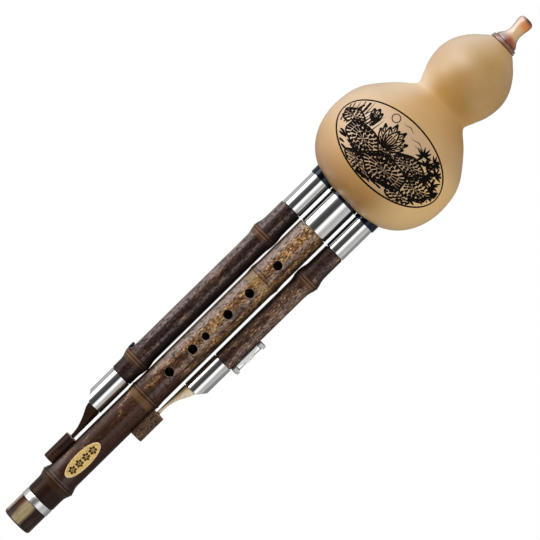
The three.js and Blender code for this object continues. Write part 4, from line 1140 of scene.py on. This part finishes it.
def quill_finish(name, light, dark, streak, rind_and_shade=0.0):
    """Carved bamboo: straight fibres along the blade with dark pores, duller than the polished skin. The last
    argument gives the share of dark skin on the inner side of the short drone's quill, deepened by painted shade,
    which fades out across the blade."""
    made = new_finish(name)
    fibre = noise(in_mm(22.0), 0.42, 4.0)
    patch = noise(in_mm(3.0), 3.0, 2.0)
    colour = layered(dark, (light, fibre.rise(0.32, 0.62)), (streak, patch.rise(0.5, 0.75) * 0.5))
    if rind_and_shade:
        # Dark skin with painted shade on the quill's inner side, fading through a middle tone to the pale cut
        across, height = places("XZ")
        share = (across - 12.0) / (0.9 + 0.2 * (height - 112.0))
        colour = mixed(colour, (0.3, 0.2, 0.065), (1.0 - share.rise(0.2, 1.3)) * rind_and_shade)
        colour = mixed(colour, (0.02, 0.008, 0.003), (1.0 - share.rise(0.0, 0.75)) * rind_and_shade)
    close_finish({
        "Base Color": colour, "Roughness": 0.45 + 0.15 * fibre, "Specular IOR Level": 0.15,
        "Normal": raised(fibre, 0.06 * mm, 0.4),
    })
    return made


pale_quill = quill_finish("pale_quill", (0.78, 0.66, 0.5), (0.58, 0.44, 0.28), (0.66, 0.52, 0.36), 0.95)
dark_quill = quill_finish("dark_quill", (0.034, 0.012, 0.004), (0.009, 0.003, 0.001), (0.022, 0.007, 0.002))


def soft_least(value, limit, softness):
    """The lesser of a value and a limit, with a rounded turn between them."""
    return limit - softness * np.logaddexp(0.0, (limit - value) / softness)


slant_start, slant_rise = 0.34, 0.8 / 0.66
past_nib = 8.0 * mm
below_foot = 11.1 * mm


def quill_points(x, side, radius, top, sleeve_end, nib, slim):
    """The quill's section, at each height, is the round of its blank, cut off by the slanted face on the outer
    side and by the two flanks, with a rounded turn at each cut. The face is slimmer by a share of the radius, that
    comes and goes as a sine along the nib. Down is 0 at the sleeve's end and 1 at the nib's."""
    tip = sleeve_end - nib - past_nib
    height = np.concatenate([np.linspace(tip, sleeve_end, 110), np.linspace(sleeve_end, top, 30)[1:]])
    down = (sleeve_end - height) / nib
    blank = np.where(height > sleeve_end - 0.3 * mm, radius - 1.1 * mm, 0.95 * radius)
    edge, width = (smooth_line(np.array(shares), 6).T for shares in (edge_shares, width_shares))
    face = np.interp(down, *edge) - slim * np.sin(math.pi * np.clip(down, 0, 1) ** 0.8)
    face = np.where(down < 0, edge[1, 0] + (height - sleeve_end) / radius / slant_rise, face)
    face = np.where(down > 1, np.interp(down, [1.0, 1.4], [edge[1, -1], -0.64]), face) * radius
    flank = np.where(down < 0, 1.5, np.interp(down, *width))
    flank = np.where(down > 1, np.interp(down, [1.0, 1.4], [width[1, -1], 0.22]), flank) * radius
    angle = round_angles(72)
    near, wide = blank[:, None] * np.cos(angle), blank[:, None] * np.sin(angle)
    near = soft_least(near, face[:, None], 0.12 * mm)
    wide = np.sign(wide) * soft_least(np.abs(wide), flank[:, None], 0.1 * mm)
    return together(x + side * near, wide, height[:, None] + 0 * angle)


for name, x, side, radius, foot, length, nib, slim, quill_wood, slot in (
    ("left", left_x, -1.0, 7.2, 106.8, 24.6, 22.2, 0.02, dark_quill, "black_bamboo"),
    ("right", right_x, 1.0, 6.8, 156.0, 25.2, 24.2, 0.19, pale_quill, "pale_bamboo"),
):
    radius, foot, length, nib = radius * mm, foot * mm, length * mm, nib * mm
    sleeve_end, inner, rim = foot - length, radius - metal_wall, 0.15 * mm
    outline = [(inner, 0.005), (inner + rim, 0.0), (radius - rim, 0.0), (radius, 0.006), (radius, 0.994),
               (radius - rim, 1.0), (inner + rim, 1.0), (inner, 0.995)]
    points = turned(outline, metal_sides, x)
    out = side * (points[..., 0] - x)
    low = sleeve_end + np.clip((out - slant_start * radius) * slant_rise, 0.0, None)
    points[..., 2] = low + points[..., 2] * (foot - joint_gap - low)
    sleeve = surface(name + "_slant_sleeve", points, drawn_metal, ring=True)
    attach(sleeve, name + "_drone")
    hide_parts(name + "_sleeve")

    points = quill_points(x, side, radius, foot - below_foot, sleeve_end, nib, slim)
    quill = surface(name + "_quill_blade", points, quill_wood)
    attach(quill, name + "_drone")
    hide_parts(name + "_quill")

# Switch on the short drone. A bright bracket is screwed to the flat, and a ribbed thumb slider runs on a rod between
# its two posts and its two bowed side rails, with a leather pad under it that covers the port. The bracket's metal is
# darkened by painted shade along the flat, between the posts and beside them.
switch_metal = metal_finish("switch_metal", 8.0, 0.3, (0.93, 0.92, 0.91), 0.5)
switch_middle = 168.9
post_middle = 10.5


def prism(name, outline, half_width, finish, bevel):
    """An outline of places out from the drone's axis and up, in mm, carried from side to side, its edges beveled."""
    out, up = np.multiply(outline, mm).T
    across = np.array([-half_width, half_width])[:, None]
    made = surface(name, together(right_x + out + 0 * across, across + 0 * out, up + 0 * across), finish)
    change = made.modifiers.new("edges", "BEVEL")
    change.width = bevel
    change.segments = 3
    return made


bracket_outline = [(6.55, 156.6), (10.65, 156.6), (10.65, 160.2), (7.35, 160.2), (7.35, 177.6), (10.65, 177.6),
                   (10.65, 181.2), (6.55, 181.2)]
plate_metal = new_finish("plate_metal")
plate_grain = noise(in_mm(), 0.6, 3.0)
plate_x, plate_z = places("XZ")
from_middle = abs(plate_z - switch_middle)
from_post = abs(from_middle - post_middle)
# Painted shade along the flat, between the posts under the rails and slider, and at the posts
bracket_shade = Wire.maths("MAXIMUM", from_post.band(1.7, 0.25, 0.3), 1.0 - plate_x.rise(25.9, 26.3))
bracket_shade = Wire.maths("MAXIMUM", bracket_shade, (1.0 - plate_x.rise(27.5, 27.7)) * (1.0 - from_middle.rise(8.5, 8.8)))
plate_tone = mixed((0.93, 0.92, 0.9), (0.8, 0.79, 0.77), plate_grain.rise(0.4, 0.6))
close_finish({
    "Base Color": mixed(plate_tone, dark_metal, bracket_shade * 0.9), "Metallic": 1.0, "Roughness": 0.4 + 0.1 * plate_grain,
})
bracket = prism("switch_plate", bracket_outline, 2.8 * mm, plate_metal, 0.3 * mm)
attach(bracket, "right_drone")
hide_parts("switch_bracket")
satin_metal = metal_finish("satin_metal", 8.0, 0.5, (0.9, 0.89, 0.87), 0.4)
bow = np.linspace(-1.0, 1.0, 25)
rail_edge = together(9.8 - 1.7 * bow ** 2, switch_middle + 8.7 * bow)
rail_outline = np.concatenate([rail_edge, [(7.3, 177.6), (7.3, 160.2)]])
for place, across in enumerate((-2.65, 2.65)):
    rail = prism(f"switch_rail_{place}", rail_outline, 0.14 * mm, satin_metal, 0.06 * mm)
    rail.data.transform(Matrix.Translation((0.0, across * mm, 0.0)))
    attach(rail, "right_drone")

rod_outline = np.multiply([(0.3, 159.4), (0.42, 159.55), (0.42, 178.25), (0.3, 178.4)], mm)
guide = surface("switch_rod", turned(rod_outline, 32, right_x + 10.15 * mm), satin_metal)
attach(guide, "right_drone")
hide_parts("switch_guide")

# Painted shade: the screws' slots get a dark, dull finish in place of bright metal
slot_shade = grained_finish("slot_shade", dark_metal, (0.08, 0.075, 0.07), 0.6, 0.0, 0.4, share=(0.4, 0.7))
screw_outline = [(0.3, 4.5), (0.6, 4.7), (0.6, 10.9), (1.2, 10.95), (1.4, 11.05), (1.4, 11.3), (1.15, 11.52),
                 (0.6, 11.63), (0.2, 11.65)]
slot_half = 0.2 * mm
for name, height in (("lower", 158.0 * mm), ("upper", 179.8 * mm)):
    points = turned_sideways(screw_outline, 36, right_x, 1, height)
    screw = surface(name + "_screw", points, switch_metal, sharp=small_edge)
    low, high = (right_x + 11.3 * mm, -2 * mm, height - slot_half), (right_x + 12.5 * mm, 2 * mm, height + slot_half)
    cut(screw, [surface(name + "_slot", block_points(low, high), slot_shade)])
    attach(screw, "right_drone")
    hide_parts("switch_screw_" + name)


slider_foot = 8.75
slider_half_length = 4.5


def slider_points():
    """The slider, row by row up the rod: a rounded section, x^3 + y^3 = 1 on its half sizes, whose height is a dome
    with three ribs and whose width narrows to both ends."""
    share = np.linspace(-1.0, 1.0, 70)[:, None]
    end = np.clip((1 - np.abs(share)) / 0.06, 0.0, 1.0) ** 0.5
    ribs = np.exp(-(((np.abs(share) - 0.5) / 0.09) ** 2)) + np.exp(-((share / 0.09) ** 2))
    half_height = np.minimum(1.9 - 0.6 * share ** 2 + 0.3 * ribs, 2.2) / 2 * (0.7 + 0.3 * end)
    half_width = 2.2 * (1 - 0.3 * np.abs(share) ** 3) * (0.7 + 0.3 * end)
    cosine, sine = np.cos(round_angles(56)), np.sin(round_angles(56))
    out = slider_foot + half_height * (1 + np.sign(cosine) * np.abs(cosine) ** (2 / 3))
    across = half_width * np.sign(sine) * np.abs(sine) ** (2 / 3)
    up = switch_middle + slider_half_length * share + 0 * cosine
    return together(right_x + out * mm, across * mm, up * mm)


slider = surface("switch_thumb", slider_points(), switch_metal)
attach(slider, "slider")
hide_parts("switch_slider")

pad_leather = grained_finish("pad_leather", (0.09, 0.045, 0.022), (0.2, 0.11, 0.055), 0.75, 0.1, 0.35, 4.0,
                             relief=(0.1, 0.5))
pad_outline = [(7.65, 165.4), (8.45, 165.4), (8.45, 172.4), (7.65, 172.4)]
pad = prism("leather_pad", pad_outline, 2.2 * mm, pad_leather, 0.15 * mm)
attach(pad, "slider")
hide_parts("switch_pad")
